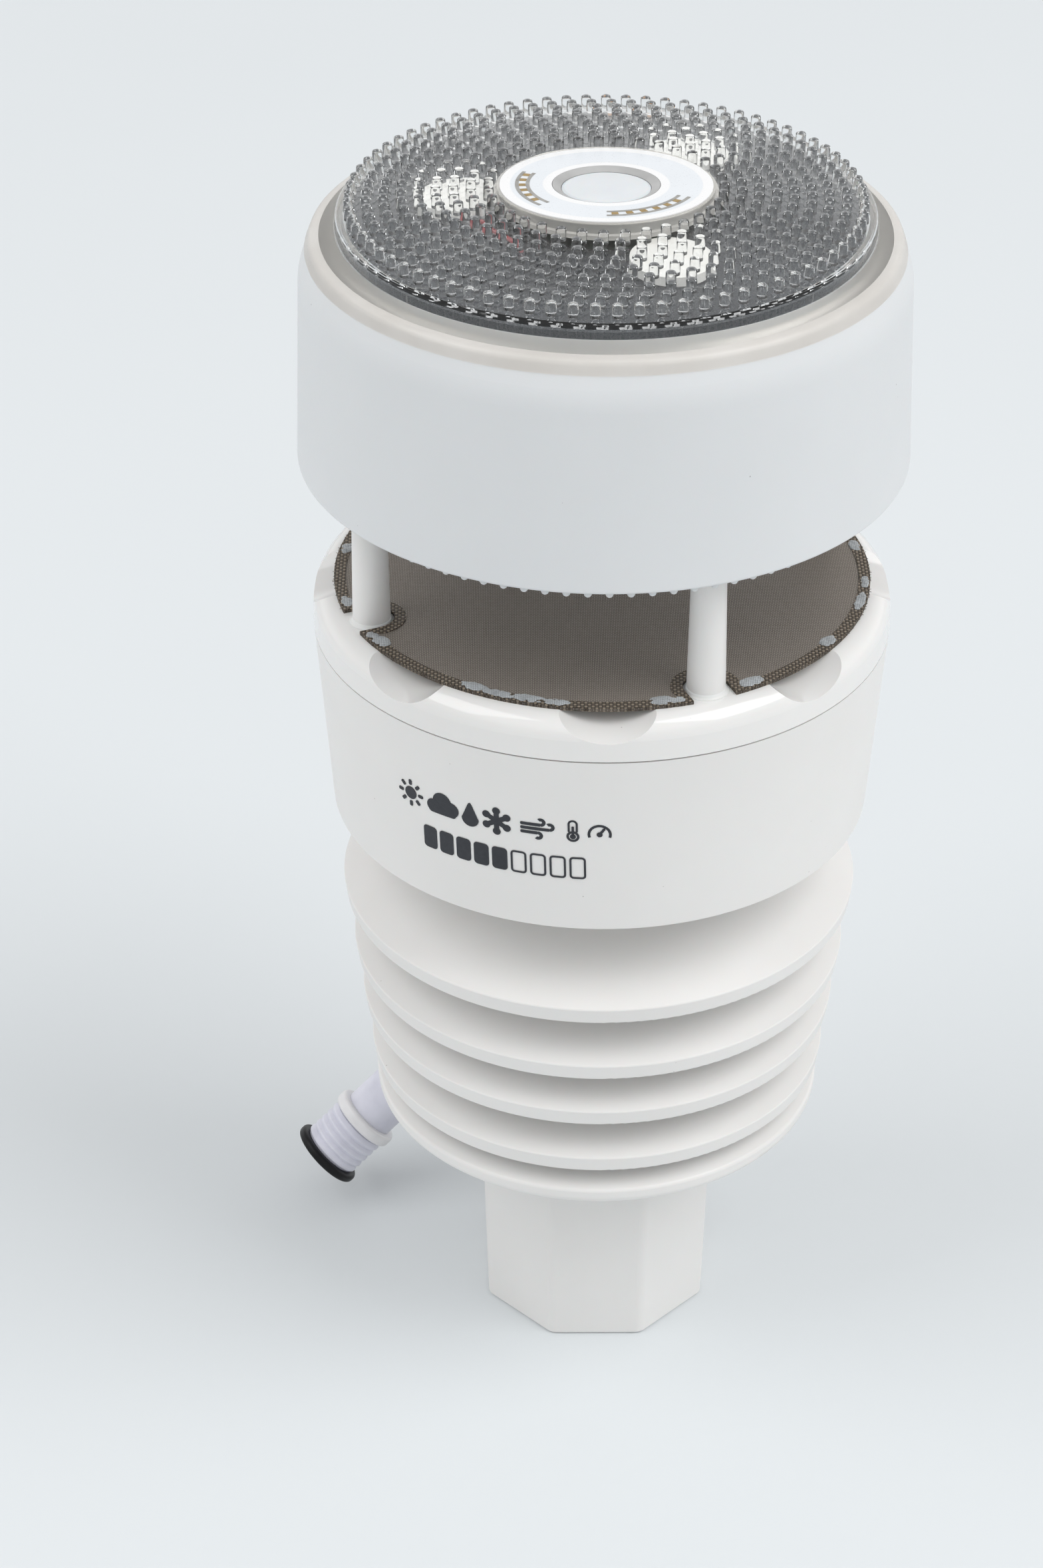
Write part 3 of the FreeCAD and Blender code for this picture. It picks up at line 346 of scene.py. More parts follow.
board_mask, tree, shader = finish("green_board")
spot, tone, fine = grain_of(tree, 60.0, 3000.0)
tracks = place(tree, "TexBrick", {"offset": 0.35, "squash": 1.6, "squash_frequency": 3},
               Vector=spot, Scale=120.0, Mortar_Size=0.012, Mortar_Smooth=0.2)
laid = tones(tree, tone, (0.010, 0.085, 0.035), (0.016, 0.125, 0.055))
fill(tree, shader.inputs["Base Color"], over(tree, tracks.outputs["Fac"], laid, (0.035, 0.20, 0.085)))
broken_gloss(tree, shader, fine, 0.22, 0.38)
relief(tree, shader, tracks.outputs["Fac"], 0.4, 0.00003)
dress(board_mask, "button_board", "climate_sensor_board", "main_board", "head_board", "light_sensor_board")

# ---------------------------------------------------------------- louvred radiation shield
# Four conical louvres with rolled lips stack over three hollow pillars, pulled together by long steel
# screws. A duct runs up the middle, and a sintered cap covers the climate sensor in the moving air.

dress(ivory, "louvre_1", "louvre_2", "louvre_3", "louvre_4", "wire_duct")

steel = opaque(
    "screw_steel", (0.44, 0.43, 0.41), (0.60, 0.59, 0.57), 0.30, drift=500.0, grain=1500.0, Metallic=1.0)
dress(steel, "tie_screws", "board_screws", "post_screws")

filter_white, tree, shader = finish("filter_white")
spot = place(tree, "TexCoord").outputs["Object"]
granules = place(tree, "TexVoronoi", Vector=spot, Scale=2200.0).outputs["Distance"]
# Each granule is pale at its middle and darker towards its edges: painted shade in the pores between the
# granules.
fill(tree, shader.inputs["Base Color"], tones(tree, granules, (0.80, 0.80, 0.79), (0.46, 0.46, 0.45), at=0.8))
fill(tree, shader.inputs["Roughness"], ranged(tree, granules, 0.0, 0.8, 0.6, 0.85))
relief(tree, shader, granules, 0.6, -0.0001)
dress(filter_white, "climate_filter_cap")

# ---------------------------------------------------------------- electronics housing
# A plain tapered drum in the same ASA, over the main board with its supercapacitor and radio can.
# A row of weather pictograms over a level scale is pad-printed on its front left in black ink.

dress(ivory, "main_housing")

PRINT_LIFT = 0.00005
PRINT_DEPTH = 0.00005
HOUSING_FOOT_Z = 0.1344
HOUSING_FOOT_RADIUS = 0.0567
HOUSING_TAPER = 0.07385
PRINT_MIDDLE = math.radians(-111.4)
PICTOGRAM_Z = 0.1590
LEVEL_SCALE_Z = 0.1499
BEND_EVERY = 0.0012


def applied(piece, name, kind, **settings):
    """Give a piece a modifier, and make what it does the mesh."""
    made = piece.modifiers.new(name, kind)
    for word, value in settings.items():
        setattr(made, word, value)
    bpy.context.view_layer.objects.active = piece
    bpy.ops.object.modifier_apply(modifier=name)


def wrapped_on_housing(piece, height):
    """Roll a flat shape drawn in X and Z round the drum, and give it the thickness of the ink."""
    settle(piece)
    for corner in piece.data.vertices:
        level = height + corner.co.z
        radius = HOUSING_FOOT_RADIUS + HOUSING_TAPER * (level - HOUSING_FOOT_Z) + PRINT_LIFT
        turn = PRINT_MIDDLE + corner.co.x / radius
        corner.co = (radius * math.cos(turn), radius * math.sin(turn), level)
    applied(piece, "ink", "SOLIDIFY", thickness=PRINT_DEPTH, offset=1.0)


def picked(piece, kind, chosen):
    """Enter edit mode with only those corners or faces selected that pass a test."""
    bpy.context.view_layer.objects.active = piece
    bpy.ops.object.mode_set(mode="EDIT")
    bpy.ops.mesh.select_mode(type=kind)
    bpy.ops.mesh.select_all(action="DESELECT")
    bpy.ops.object.mode_set(mode="OBJECT")
    for item in piece.data.vertices if kind == "VERT" else piece.data.polygons:
        item.select = chosen(item)
    bpy.ops.object.mode_set(mode="EDIT")


def flat_bar(name, length, width, round_off, spot=(0.0, 0.0), turn=0.0, line=0.0):
    """A flat bar with rounded corners, cut across so that it can be rolled, or only its outline."""
    cuts = 1 if line else max(2, int(length / BEND_EVERY))
    bar = start("grid", name, x_subdivisions=cuts, y_subdivisions=1 if line else 2, size=1.0)
    bar.scale = (length, width, 1.0)
    settle(bar)
    picked(bar, "VERT", lambda corner: abs(corner.co.x) > 0.499 * length and abs(corner.co.y) > 0.499 * width)
    bpy.ops.mesh.bevel(offset=round_off, segments=4, affect="VERTICES")
    if line:
        bpy.ops.mesh.select_mode(type="FACE")
        bpy.ops.mesh.select_all(action="SELECT")
        bpy.ops.mesh.inset(thickness=line)
        bpy.ops.mesh.delete(type="FACE")
    bpy.ops.object.mode_set(mode="OBJECT")
    bar.rotation_euler = (math.pi / 2.0, -turn, 0.0)
    bar.location = (spot[0], 0.0, spot[1])
    settle(bar)
    return bar


def flat_disc(name, radius, spot=(0.0, 0.0), corners=28):
    """A flat round dot."""
    dot = start("circle", name, vertices=corners, radius=radius, fill_type="TRIFAN",
                rotation=(math.pi / 2.0, 0.0, 0.0), location=(spot[0], 0.0, spot[1]))
    settle(dot)
    return dot


def flat_ring(name, radius, width, spot=(0.0, 0.0), first=0.0, share=1.0):
    """A flat ring or part of one, from a circle whose rim is extruded and scaled in."""
    ring = start("circle", name, vertices=36, radius=radius, fill_type="NOTHING")
    bpy.ops.object.mode_set(mode="EDIT")
    bpy.ops.mesh.select_all(action="SELECT")
    bpy.ops.mesh.extrude_region_move()
    inner = 1.0 - width / radius
    bpy.ops.transform.resize(value=(inner, inner, 1.0))
    bpy.ops.object.mode_set(mode="OBJECT")
    if share < 1.0:
        past = share * 2.0 * math.pi + 0.001
        picked(ring, "VERT", lambda corner: (
            (math.atan2(corner.co.y, corner.co.x) - first + 0.0005) % (2.0 * math.pi) > past))
        bpy.ops.mesh.delete(type="VERT")
        bpy.ops.object.mode_set(mode="OBJECT")
    ring.rotation_euler = (math.pi / 2.0, 0.0, 0.0)
    ring.location = (spot[0], 0.0, spot[1])
    settle(ring)
    return ring


def joined(name, pieces):
    """Several pieces as one object."""
    only(*pieces)
    bpy.ops.object.join()
    pieces[0].name = name
    return pieces[0]


def set_round(x, reach, turn):
    """The spot at one reach and turn from the middle of a pictogram."""
    return x + reach * math.cos(turn), reach * math.sin(turn)


SUN_X = -0.0207
RAY_REACH = 0.0026
marks = [flat_disc("sun_face", 0.0015, (SUN_X, 0.0))]
for ray in range(8):
    turn = math.pi * ray / 4.0
    spot = set_round(SUN_X, RAY_REACH, turn)
    marks.append(flat_bar("sun_ray_%d" % ray, 0.0013, 0.0008, 0.0003, spot, turn))

CLOUD_X = -0.0127
CLOUD_PUFFS = (
    ("left", -0.0021, -0.0007, 0.0016), ("top", 0.0, 0.0008, 0.0022), ("right", 0.0021, -0.0004, 0.0018))
for side, x, z, radius in CLOUD_PUFFS:
    marks.append(flat_disc("cloud_" + side, radius, (CLOUD_X + x, z)))
marks.append(flat_bar("cloud_base", 0.0066, 0.0017, 0.0008, (CLOUD_X, -0.0015)))

DROP_X = -0.0062
DROP_RADIUS = 0.0019
DROP_TIP = 0.0020
drop = flat_disc("rain_drop", DROP_RADIUS, corners=32)
for corner in drop.data.vertices:
    if corner.co.z > 0.0:
        pull = corner.co.z / DROP_RADIUS
        corner.co.z += DROP_TIP * pull ** 2.2
        corner.co.x *= 1.0 - 0.45 * pull
    corner.co.x += DROP_X
    corner.co.z -= DROP_TIP / 2.0
marks.append(drop)

FLAKE_X = -0.0004
FLAKE_TURN = 0.52
FLAKE_REACH = 0.0025
for arm in range(3):
    turn = math.pi * arm / 3.0 + FLAKE_TURN
    marks.append(flat_bar("flake_arm_%d" % arm, 0.0060, 0.0011, 0.0003, (FLAKE_X, 0.0), turn))
for tip in range(6):
    turn = math.pi * tip / 3.0 + FLAKE_TURN
    marks.append(flat_disc("flake_tip_%d" % tip, 0.00085, set_round(FLAKE_X, FLAKE_REACH, turn), 14))

WIND_X = 0.0046
WIND_STROKE = 0.0007
CURL_RADIUS = 0.0010
# Each line of the wind: its length, its level, and whether it curls up or down.
WIND_LINES = ((0.0042, 0.0008, 1), (0.0060, -0.0002, 1), (0.0036, -0.0012, -1))
for row, (length, level, curl) in enumerate(WIND_LINES):
    marks.append(flat_bar("wind_line_%d" % row, length, WIND_STROKE, 0.00025, (WIND_X + length / 2.0, level)))
    marks.append(flat_ring(
        "wind_curl_%d" % row, CURL_RADIUS, WIND_STROKE,
        (WIND_X + length, level + (CURL_RADIUS - WIND_STROKE / 2.0) * curl),
        -math.pi / 2.0 if curl > 0 else -math.pi * 0.74, 0.62))

GLASS_X = 0.0152
BULB_Z = -0.0013
GLASS_LINE = 0.00042
UPRIGHT = math.pi / 2.0
marks.append(flat_ring("glass_bulb_rim", 0.0013, 0.0005, (GLASS_X, BULB_Z)))
marks.append(flat_disc("glass_bulb", 0.0006, (GLASS_X, BULB_Z), 20))
marks.append(flat_bar("glass_thread", 0.0024, 0.0005, 0.0002, (GLASS_X, 0.0), UPRIGHT))
for side in (-1, 1):
    marks.append(flat_bar(
        "glass_side_%d" % side, 0.0022, GLASS_LINE, 0.00015, (GLASS_X + 0.0008 * side, 0.0009), UPRIGHT))
marks.append(flat_ring("glass_top", 0.00101, GLASS_LINE, (GLASS_X, 0.0017), 0.0, 0.5))

DIAL_X = 0.0205
DIAL_Z = -0.0006
DIAL_LINE = 0.00055
marks.append(flat_ring("dial_arc", 0.0024, DIAL_LINE, (DIAL_X, DIAL_Z), -math.pi * 0.12, 0.62))
marks.append(flat_bar("dial_needle", 0.0022, DIAL_LINE, 0.0002, (DIAL_X + 0.0004, 0.0), math.radians(55.0)))
marks.append(flat_disc("dial_hub", 0.0006, (DIAL_X, DIAL_Z), 16))
icons = joined("housing_pictograms", marks)
wrapped_on_housing(icons, PICTOGRAM_Z)

# A level scale under the pictograms: solid blocks, then outlined ones.
LEVELS = 9
FILLED_LEVELS = 5
LEVEL_PITCH = 0.0040
LEVEL_LINE = 0.00042
blocks = []
for level in range(LEVELS):
    blocks.append(flat_bar(
        "level_%d" % level, 0.0033, 0.0054, 0.0008, (LEVEL_PITCH * (level - (LEVELS - 1) / 2.0), 0.0),
        line=0.0 if level < FILLED_LEVELS else LEVEL_LINE))
level_scale = joined("housing_level_scale", blocks)
wrapped_on_housing(level_scale, LEVEL_SCALE_Z)

ink = opaque("print_ink", (0.010, 0.012, 0.018), (0.018, 0.020, 0.027), 0.42, drift=900.0, grain=7000.0)
fitted(icons, "sensor", ink)
fitted(level_scale, "sensor", ink)

sleeve = opaque("capacitor_sleeve", (0.015, 0.025, 0.06), (0.02, 0.035, 0.09), 0.3, drift=300.0)
dress(sleeve, "supercapacitor")
can_steel = opaque("radio_can_steel", (0.50, 0.50, 0.49), (0.62, 0.62, 0.60), 0.34, drift=200.0, Metallic=1.0)
dress(can_steel, "radio_module")
grey_rubber = opaque("grey_rubber", (0.14, 0.14, 0.14), (0.19, 0.19, 0.19), 0.6, drift=300.0, depth=0.00005)
dress(grey_rubber, "housing_seal", "transducer_gaskets", "cover_gasket")

# ---------------------------------------------------------------- ultrasonic wind deck
# The deck collar is polished ASA with eight drain scoops cut through its rim. Four aluminium
# transducer cans sit in rubber gaskets in its floor, over a copper de-icing film.

gloss = opaque(
    "ivory_gloss", (0.765, 0.754, 0.737), (0.795, 0.785, 0.768), 0.13, drift=18.0, grain=700.0, strength=0.12,
    specks=300.0, Coat_Weight=0.4, Coat_Roughness=0.05, Subsurface_Weight=0.06, Subsurface_Scale=0.002)
dress(gloss, "deck_collar")

can_metal = opaque("transducer_can", (0.55, 0.55, 0.56), (0.66, 0.66, 0.67), 0.32, drift=300.0, Metallic=1.0)
dress(can_metal, "transducer_1", "transducer_2", "transducer_3", "transducer_4")
copper = opaque("copper_film", (0.60, 0.26, 0.12), (0.74, 0.36, 0.20), 0.34, drift=120.0, Metallic=1.0)
dress(copper, "deck_heater")

# ---------------------------------------------------------------- woven wire mesh over the deck
# Plain-woven bronze wire cloth lies over the deck. Its edge is turned down into a darker hem with a
# fringe of loose wire ends, and dabs of pale glue hold it to the collar by the scoops and the posts.

weaving, given, result = effect("wire_weave", {"Place": "Vector", "Pitch": "Float"}, ("Crossing", "Lay"))
axes = place(weaving, "SeparateXYZ", Vector=given["Place"])
across = sum_of(weaving, "COSINE", sum_of(weaving, "MULTIPLY", axes.outputs["X"], given["Pitch"]))
along = sum_of(weaving, "COSINE", sum_of(weaving, "MULTIPLY", axes.outputs["Y"], given["Pitch"]))
product = sum_of(weaving, "MULTIPLY", across, along)
fill(weaving, result["Crossing"], sum_of(weaving, "POWER", sum_of(weaving, "ABSOLUTE", product), 0.7))
fill(weaving, result["Lay"], ranged(weaving, product, -0.3, 0.3))

WIRE_PITCH = 0.00035


def wire_cloth(name, pitch, gap, wire, crown_highlight, rough, strength):
    """Woven wire with painted light in its colour: dark gaps as painted shade under the cloth, and lighter
    crowns as a painted highlight at the crossings where one direction's thread lies on top.
    """
    made, tree, shader = finish(name, Metallic=0.45)
    spot, tone, fine = grain_of(tree, 35.0, 900.0)
    weave = place(tree, "Group", {"node_tree": weaving}, Place=spot, Pitch=math.pi / pitch)
    thread = over(tree, weave.outputs["Lay"], wire, crown_highlight)
    lit = over(tree, ranged(tree, weave.outputs["Crossing"], 0.15, 0.75), gap, thread)
    faded = over(tree, sum_of(tree, "MULTIPLY", tone, 0.35), lit, wire)
    fill(tree, shader.inputs["Base Color"], faded)
    broken_gloss(tree, shader, fine, rough - 0.08, rough + 0.08)
    relief(tree, shader, weave.outputs["Crossing"], strength, 0.25 * pitch)
    return made


def copied(piece, matrix):
    """A copy of a piece with its own mesh, at another place."""
    copy = piece.copy()
    copy.data = piece.data.copy()
    copy.matrix_world = matrix
    bpy.context.scene.collection.objects.link(copy)
    return copy


# Each cloth's colours in turn: its gaps, painted shade under the wires; its wire; its crowns, a painted
# highlight.
cloth = wire_cloth(
    "wire_mesh", WIRE_PITCH, (0.045, 0.035, 0.027), (0.30, 0.260, 0.220), (0.46, 0.41, 0.36), 0.46, 0.6)
hem_cloth = wire_cloth(
    "wire_hem", 2.0 * WIRE_PITCH, (0.016, 0.012, 0.008), (0.13, 0.100, 0.072), (0.40, 0.33, 0.25), 0.50, 1.0)
dress(cloth, "transducer_mesh")

HEM_WIDTH = 0.0024
HEM_RISE = 0.00016
only(cad_node["transducer_mesh"])
bpy.ops.object.duplicate()
hem = bpy.context.object
hem.name = "mesh_hem"
for word in [key for key in hem.keys() if key.startswith("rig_")]:
    del hem[word]
hem.parent = None
hem.matrix_world = Matrix.Identity(4)
picked(hem, "FACE", lambda face: True)
bpy.ops.mesh.remove_doubles(threshold=0.00001)
bpy.ops.object.mode_set(mode="OBJECT")
picked(hem, "FACE", lambda face: abs(face.normal.z) > 0.5)
bpy.ops.mesh.delete(type="FACE")
bpy.ops.object.mode_set(mode="OBJECT")
deck_low, deck_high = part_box("transducer_mesh")
middle = 0.5 * (deck_low.z + deck_high.z)
for corner in hem.data.vertices:
    corner.co.z = middle + (corner.co.z - middle) * (1.0 + 2.0 * HEM_RISE / (deck_high.z - deck_low.z))
applied(hem, "turned_in", "SOLIDIFY", thickness=HEM_WIDTH, offset=-1.0, use_even_offset=False)
fitted(hem, "sensor", hem_cloth)

WIRE_ENDS = 420
WIRE_END_REACH = 0.0551
POST_BEARINGS = (22.5, 112.5, 202.5, 292.5)
CLEAR_OF_POST = 6.0
random.seed(41)
loose = start(
    "cylinder", "loose_wires", vertices=5, radius=0.00006, depth=0.0012, rotation=(0.0, math.pi / 2.0, 0.0))
settle(loose)
wires = [loose]
for number in range(WIRE_ENDS):
    angle = random.uniform(0.0, 2.0 * math.pi)
    off_posts = [abs((math.degrees(angle) - bearing + 180.0) % 360.0 - 180.0) for bearing in POST_BEARINGS]
    if min(off_posts) < CLEAR_OF_POST:
        continue
    reach = WIRE_END_REACH + random.uniform(-0.0001, 0.0002)
    level = deck_high.z + random.uniform(-0.0003, 0.0001)
    wires.append(copied(loose, (
        Matrix.Rotation(angle, 4, "Z")
        @ Matrix.Translation((reach, 0.0, level))
        @ Matrix.Rotation(random.uniform(-1.3, 1.3), 4, "Z")
        @ Matrix.Rotation(random.uniform(-0.25, 0.35), 4, "Y")
        @ Matrix.Scale(random.uniform(0.5, 1.0), 4))))
loose.location = (0.0, 0.0550, deck_high.z)
fitted(joined("mesh_loose_wires", wires), "sensor", hem_cloth)

DAB_EDGE = 0.0552
DAB_THICKNESS = 0.0006
# Each dab: the angle it is centred at, its length along the edge, and how far in from the edge it reaches.
DABS = (
    (-150.0, 0.0034, 0.0028), (-146.8, 0.0052, 0.0036), (-119.0, 0.0070, 0.0032), (-113.0, 0.0085, 0.0026),
    (-106.5, 0.0080, 0.0031), (-100.5, 0.0058, 0.0027), (-78.6, 0.0056, 0.0036), (-75.5, 0.0040, 0.0026),
    (-57.7, 0.0062, 0.0036), (-33.5, 0.0050, 0.0034), (-14.6, 0.0085, 0.0024), (-6.0, 0.0060, 0.0020),
    (10.6, 0.0052, 0.0026), (33.0, 0.0054, 0.0028), (57.0, 0.0060, 0.0028), (78.0, 0.0056, 0.0028),
    (101.0, 0.0060, 0.0026), (123.0, 0.0054, 0.0028), (146.0, 0.0050, 0.0030), (170.0, 0.0050, 0.0028),
    (-166.0, 0.0050, 0.0028),
)
dabs = []
for angle, length, width in DABS:
    dab = start("uv_sphere", "dab", segments=20, ring_count=10, radius=0.5)
    dab.matrix_world = (
        Matrix.Rotation(math.radians(angle), 4, "Z")
        @ Matrix.Translation((DAB_EDGE - 0.5 * width, 0.0, deck_high.z + 0.00005))
        @ Matrix.Diagonal((width, length, DAB_THICKNESS, 1.0))
    )
    dabs.append(dab)
glue = joined("glue_dabs", dabs)
settle(glue)
lumps = bpy.data.textures.new("glue_lumps", "CLOUDS")
lumps.noise_scale = 0.0011
applied(glue, "flow", "REMESH", mode="VOXEL", voxel_size=0.00016)
applied(glue, "uneven", "DISPLACE", texture=lumps, strength=0.0005, mid_level=0.55)
applied(glue, "calm", "SMOOTH", iterations=3)

glue_clear, tree, shader = finish("mesh_glue")
spot, tone, fine = grain_of(tree, 300.0, 2500.0)
weave = place(tree, "Group", {"node_tree": weaving}, Place=spot, Pitch=math.pi / WIRE_PITCH)
# The weave shows through the glue, its gaps darker than the pale glue: painted shade under the cloth.
weave_gaps_in_shade = ranged(tree, weave.outputs["Crossing"], 0.2, 0.8)
pale = tones(tree, tone, (0.40, 0.42, 0.435), (0.62, 0.65, 0.675))
fill(tree, shader.inputs["Base Color"], over(tree, weave_gaps_in_shade, (0.22, 0.23, 0.235), pale))
broken_gloss(tree, shader, fine, 0.22, 0.4)
relief(tree, shader, weave.outputs["Crossing"], 0.5, 0.00005)
fitted(glue, "sensor", glue_clear, 60.0)

# ---------------------------------------------------------------- posts
# Four tapered posts stand in sockets in the collar and are screwed up into the head's base plate.
# A small fillet of the same plastic rounds each one's foot.

dress(ivory, "post_1", "post_2", "post_3", "post_4")


def spun(name, outline, steps=96, turn=2.0 * math.pi, first=0.0):
    """A piece turned about Z from a closed outline of radius and height pairs, in metres."""
    ring = start("circle", name, vertices=len(outline), radius=0.01, fill_type="NOTHING")
    for corner, (radius, height) in zip(ring.data.vertices, outline):
        corner.co = (radius * math.cos(first), radius * math.sin(first), height)
    bpy.ops.object.mode_set(mode="EDIT")
    bpy.ops.mesh.select_all(action="SELECT")
    bpy.ops.mesh.spin(steps=steps, angle=turn, center=(0.0, 0.0, 0.0), axis=(0.0, 0.0, -1.0))
    bpy.ops.mesh.select_all(action="SELECT")
    bpy.ops.mesh.remove_doubles(threshold=0.000004)
    if turn < 2.0 * math.pi - 0.001:
        bpy.ops.mesh.select_all(action="SELECT")
        bpy.ops.mesh.fill_holes(sides=0)
    bpy.ops.mesh.select_all(action="SELECT")
    bpy.ops.mesh.normals_make_consistent(inside=False)
    bpy.ops.object.mode_set(mode="OBJECT")
    return ring


POST_REACH = 0.0508
POST_SPOTS = [
    Matrix.Rotation(math.radians(bearing), 3, "Z") @ Vector((POST_REACH, 0.0, 0.0))
    for bearing in POST_BEARINGS]
COLLAR_TOP = 0.1849
# Each corner of the fillet's outline: its radius from the post's middle, and its height over the collar.
FOOT_OUTLINE = (
    (0.00385, -0.0003), (0.00455, -0.0003), (0.00455, 0.00008), (0.00425, 0.00018), (0.00405, 0.00042),
    (0.00396, 0.0008), (0.00385, 0.0009))
fillets = []
for number, post in enumerate(POST_SPOTS):
    outline = [(radius, COLLAR_TOP + rise) for radius, rise in FOOT_OUTLINE]
    fillet = spun("post_foot_%d" % number, outline, steps=40)
    fillet.location = post
    settle(fillet)
    fillets.append(fillet)
fitted(joined("post_feet", fillets), "sensor", ivory, 50.0)

# ---------------------------------------------------------------- head: base plate, beads and shell
# A deep cap with a large rolled shoulder, moulded in cooler white ASA. Rings of small beads under its
# base plate break up drops, so that water doesn't bridge the wind path.

head_white = opaque(
    "head_white", (0.665, 0.679, 0.688), (0.697, 0.711, 0.720), 0.42, drift=16.0, specks=230.0,
    Subsurface_Weight=0.05, Subsurface_Scale=0.002)
dress(head_white, "head_base_plate", "head_shell", "panel_carrier")

BEAD_RADIUS = 0.0008
BEAD_OUTER = 0.0575
BEAD_DROP = 0.0015
BEAD_PITCH = 0.0041
BEAD_RINGS = 9
BEAD_TO_POST = 0.0052
bead_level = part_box("head_base_plate")[0].z - BEAD_DROP
bead = start("uv_sphere", "bead", segments=12, ring_count=8, radius=BEAD_RADIUS)
for corner in bead.data.vertices:
    if corner.co.z > 0.1 * BEAD_RADIUS:
        corner.co.z += BEAD_DROP
beads = [bead]
for ring in range(BEAD_RINGS):
    reach = BEAD_OUTER - BEAD_PITCH * ring
    count = round(2.0 * math.pi * reach / BEAD_PITCH)
    for number in range(count):
        turn = 2.0 * math.pi * number / count
        spot = Vector((reach * math.cos(turn), reach * math.sin(turn), bead_level))
        if min((spot.xy - post.xy).length for post in POST_SPOTS) > BEAD_TO_POST:
            beads.append(copied(bead, Matrix.Translation(spot)))
bead.location = (0.0, 0.0, bead_level)
fitted(joined("head_beads", beads), "sensor", head_white, 60.0)

# ---------------------------------------------------------------- solar panel, sensor discs and wiring
# A ring of dark monocrystalline cells lies under the cover. Three cream ceramic discs stand on it, and
# a red lead and two orange capacitors show beside the puck and at the back.

FINGER_PITCH = 0.0016
CELL_PITCH = 0.0170


def from_line(tree, value, pitch):
    """How far a place is from the nearest of a row of lines, 0 on a line and 1 half-way to the next."""
    return sum_of(tree, "ABSOLUTE", sum_of(tree, "SINE", sum_of(tree, "MULTIPLY", value, math.pi / pitch)))


solar, tree, shader = finish("solar_cell")
spot, tone, fine = grain_of(tree, 45.0, 2200.0)
axes = place(tree, "SeparateXYZ", Vector=spot)
finger = ranged(tree, from_line(tree, axes.outputs["X"], FINGER_PITCH), 0.0, 0.10, 1.0, 0.0)
gap = ranged(tree, from_line(tree, axes.outputs["Y"], CELL_PITCH), 0.0, 0.045, 1.0, 0.0)
cell = tones(tree, tone, (0.010, 0.012, 0.015), (0.020, 0.024, 0.029))
printed = over(tree, sum_of(tree, "MULTIPLY", finger, 0.30), cell, (0.30, 0.31, 0.32))
fill(tree, shader.inputs["Base Color"], over(tree, gap, printed, (0.16, 0.16, 0.155)))
broken_gloss(tree, shader, fine, 0.22, 0.36)
relief(tree, shader, finger, 0.3, 0.00003)
dress(solar, "solar_panel")

cream = opaque(
    "cream_pad", (0.76, 0.735, 0.70), (0.83, 0.81, 0.78), 0.6, drift=220.0, grain=2400.0, depth=0.00004)
dress(cream, "rain_sensor_discs")

PANEL_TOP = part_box("solar_panel")[1].z
RED_ROUTE = (
    (-0.0262, -0.0010), (-0.0240, -0.0052), (-0.0216, -0.0100), (-0.0178, -0.0140), (-0.0165, -0.0185))
red_lead = round_lead("red_lead", [(x, y, PANEL_TOP + 0.0005) for x, y in RED_ROUTE], 0.0009, 3)
only(red_lead)
bpy.ops.object.convert(target="MESH")
red_lead = bpy.context.object
red_jacket = opaque("red_jacket", (0.30, 0.03, 0.035), (0.42, 0.06, 0.06), 0.4, drift=500.0)
fitted(red_lead, "sensor", red_jacket)

orange_body = opaque("capacitor_orange", (0.48, 0.20, 0.04), (0.62, 0.28, 0.07), 0.4, drift=900.0)
chips = []
for x, y in ((0.0023, 0.0489), (0.0104, 0.0480)):
    chip = start("cube", "chip", size=1.0, location=(x, y, PANEL_TOP + 0.0004))
    chip.scale = (0.0018, 0.0011, 0.0008)
    settle(chip)
    applied(chip, "rounded", "BEVEL", width=0.0002, segments=2)
    chips.append(chip)
fitted(joined("panel_capacitors", chips), "sensor", orange_body)

# ---------------------------------------------------------------- clear rain cover and its studs
# The cover is one injection-moulded polycarbonate dish. Rings of short round-ended studs stand all over
# its shallow dome to spread the rain, and its frosted border slopes down and laps over the shell's rim.


def reach_of(tree, spot):
    """How far a place is from the sensor's upright axis."""
    axes = place(tree, "SeparateXYZ", Vector=spot)
    across = sum_of(tree, "MULTIPLY", axes.outputs["X"], axes.outputs["X"])
    along = sum_of(tree, "MULTIPLY", axes.outputs["Y"], axes.outputs["Y"])
    return sum_of(tree, "SQRT", sum_of(tree, "ADD", across, along))


FROST_REACH = 0.0531
clear, tree, shader = finish("clear_cover", Transmission_Weight=1.0, IOR=1.5)
spot, tone, fine = grain_of(tree, 60.0, 1800.0)
marks = place(tree, "Group", {"node_tree": marking}, Place=spot, Spacing=160.0)
frost = ranged(tree, reach_of(tree, spot), FROST_REACH, FROST_REACH + 0.0002)
tint = tones(tree, tone, (0.955, 0.965, 0.965), (0.985, 0.99, 0.99))
fill(tree, shader.inputs["Base Color"], over(tree, frost, tint, (0.79, 0.765, 0.725)))
smooth = ranged(tree, marks.outputs["Scratch"], 0.0, 1.0, 0.03, 0.12)
fill(tree, shader.inputs["Roughness"], sum_of(tree, "ADD", smooth, sum_of(tree, "MULTIPLY", frost, 0.55)))
relief(tree, shader, fine, 0.08, 0.00003)


def light_passes(tree, shader, colour):
    """Let the lamps' light through a clear piece, so that what lies under it is lit."""
    passing = place(tree, "BsdfTransparent", Color=(*colour, 1.0))
    either = place(tree, "MixShader", Fac=place(tree, "LightPath").outputs["Is Shadow Ray"])
    tree.links.new(shader.outputs["BSDF"], either.inputs[1])
    tree.links.new(passing.outputs["BSDF"], either.inputs[2])
    tree.links.new(either.outputs["Shader"], tree.nodes["Material Output"].inputs["Surface"])


light_passes(tree, shader, (0.93, 0.94, 0.94))
dress(clear, "rain_cover")

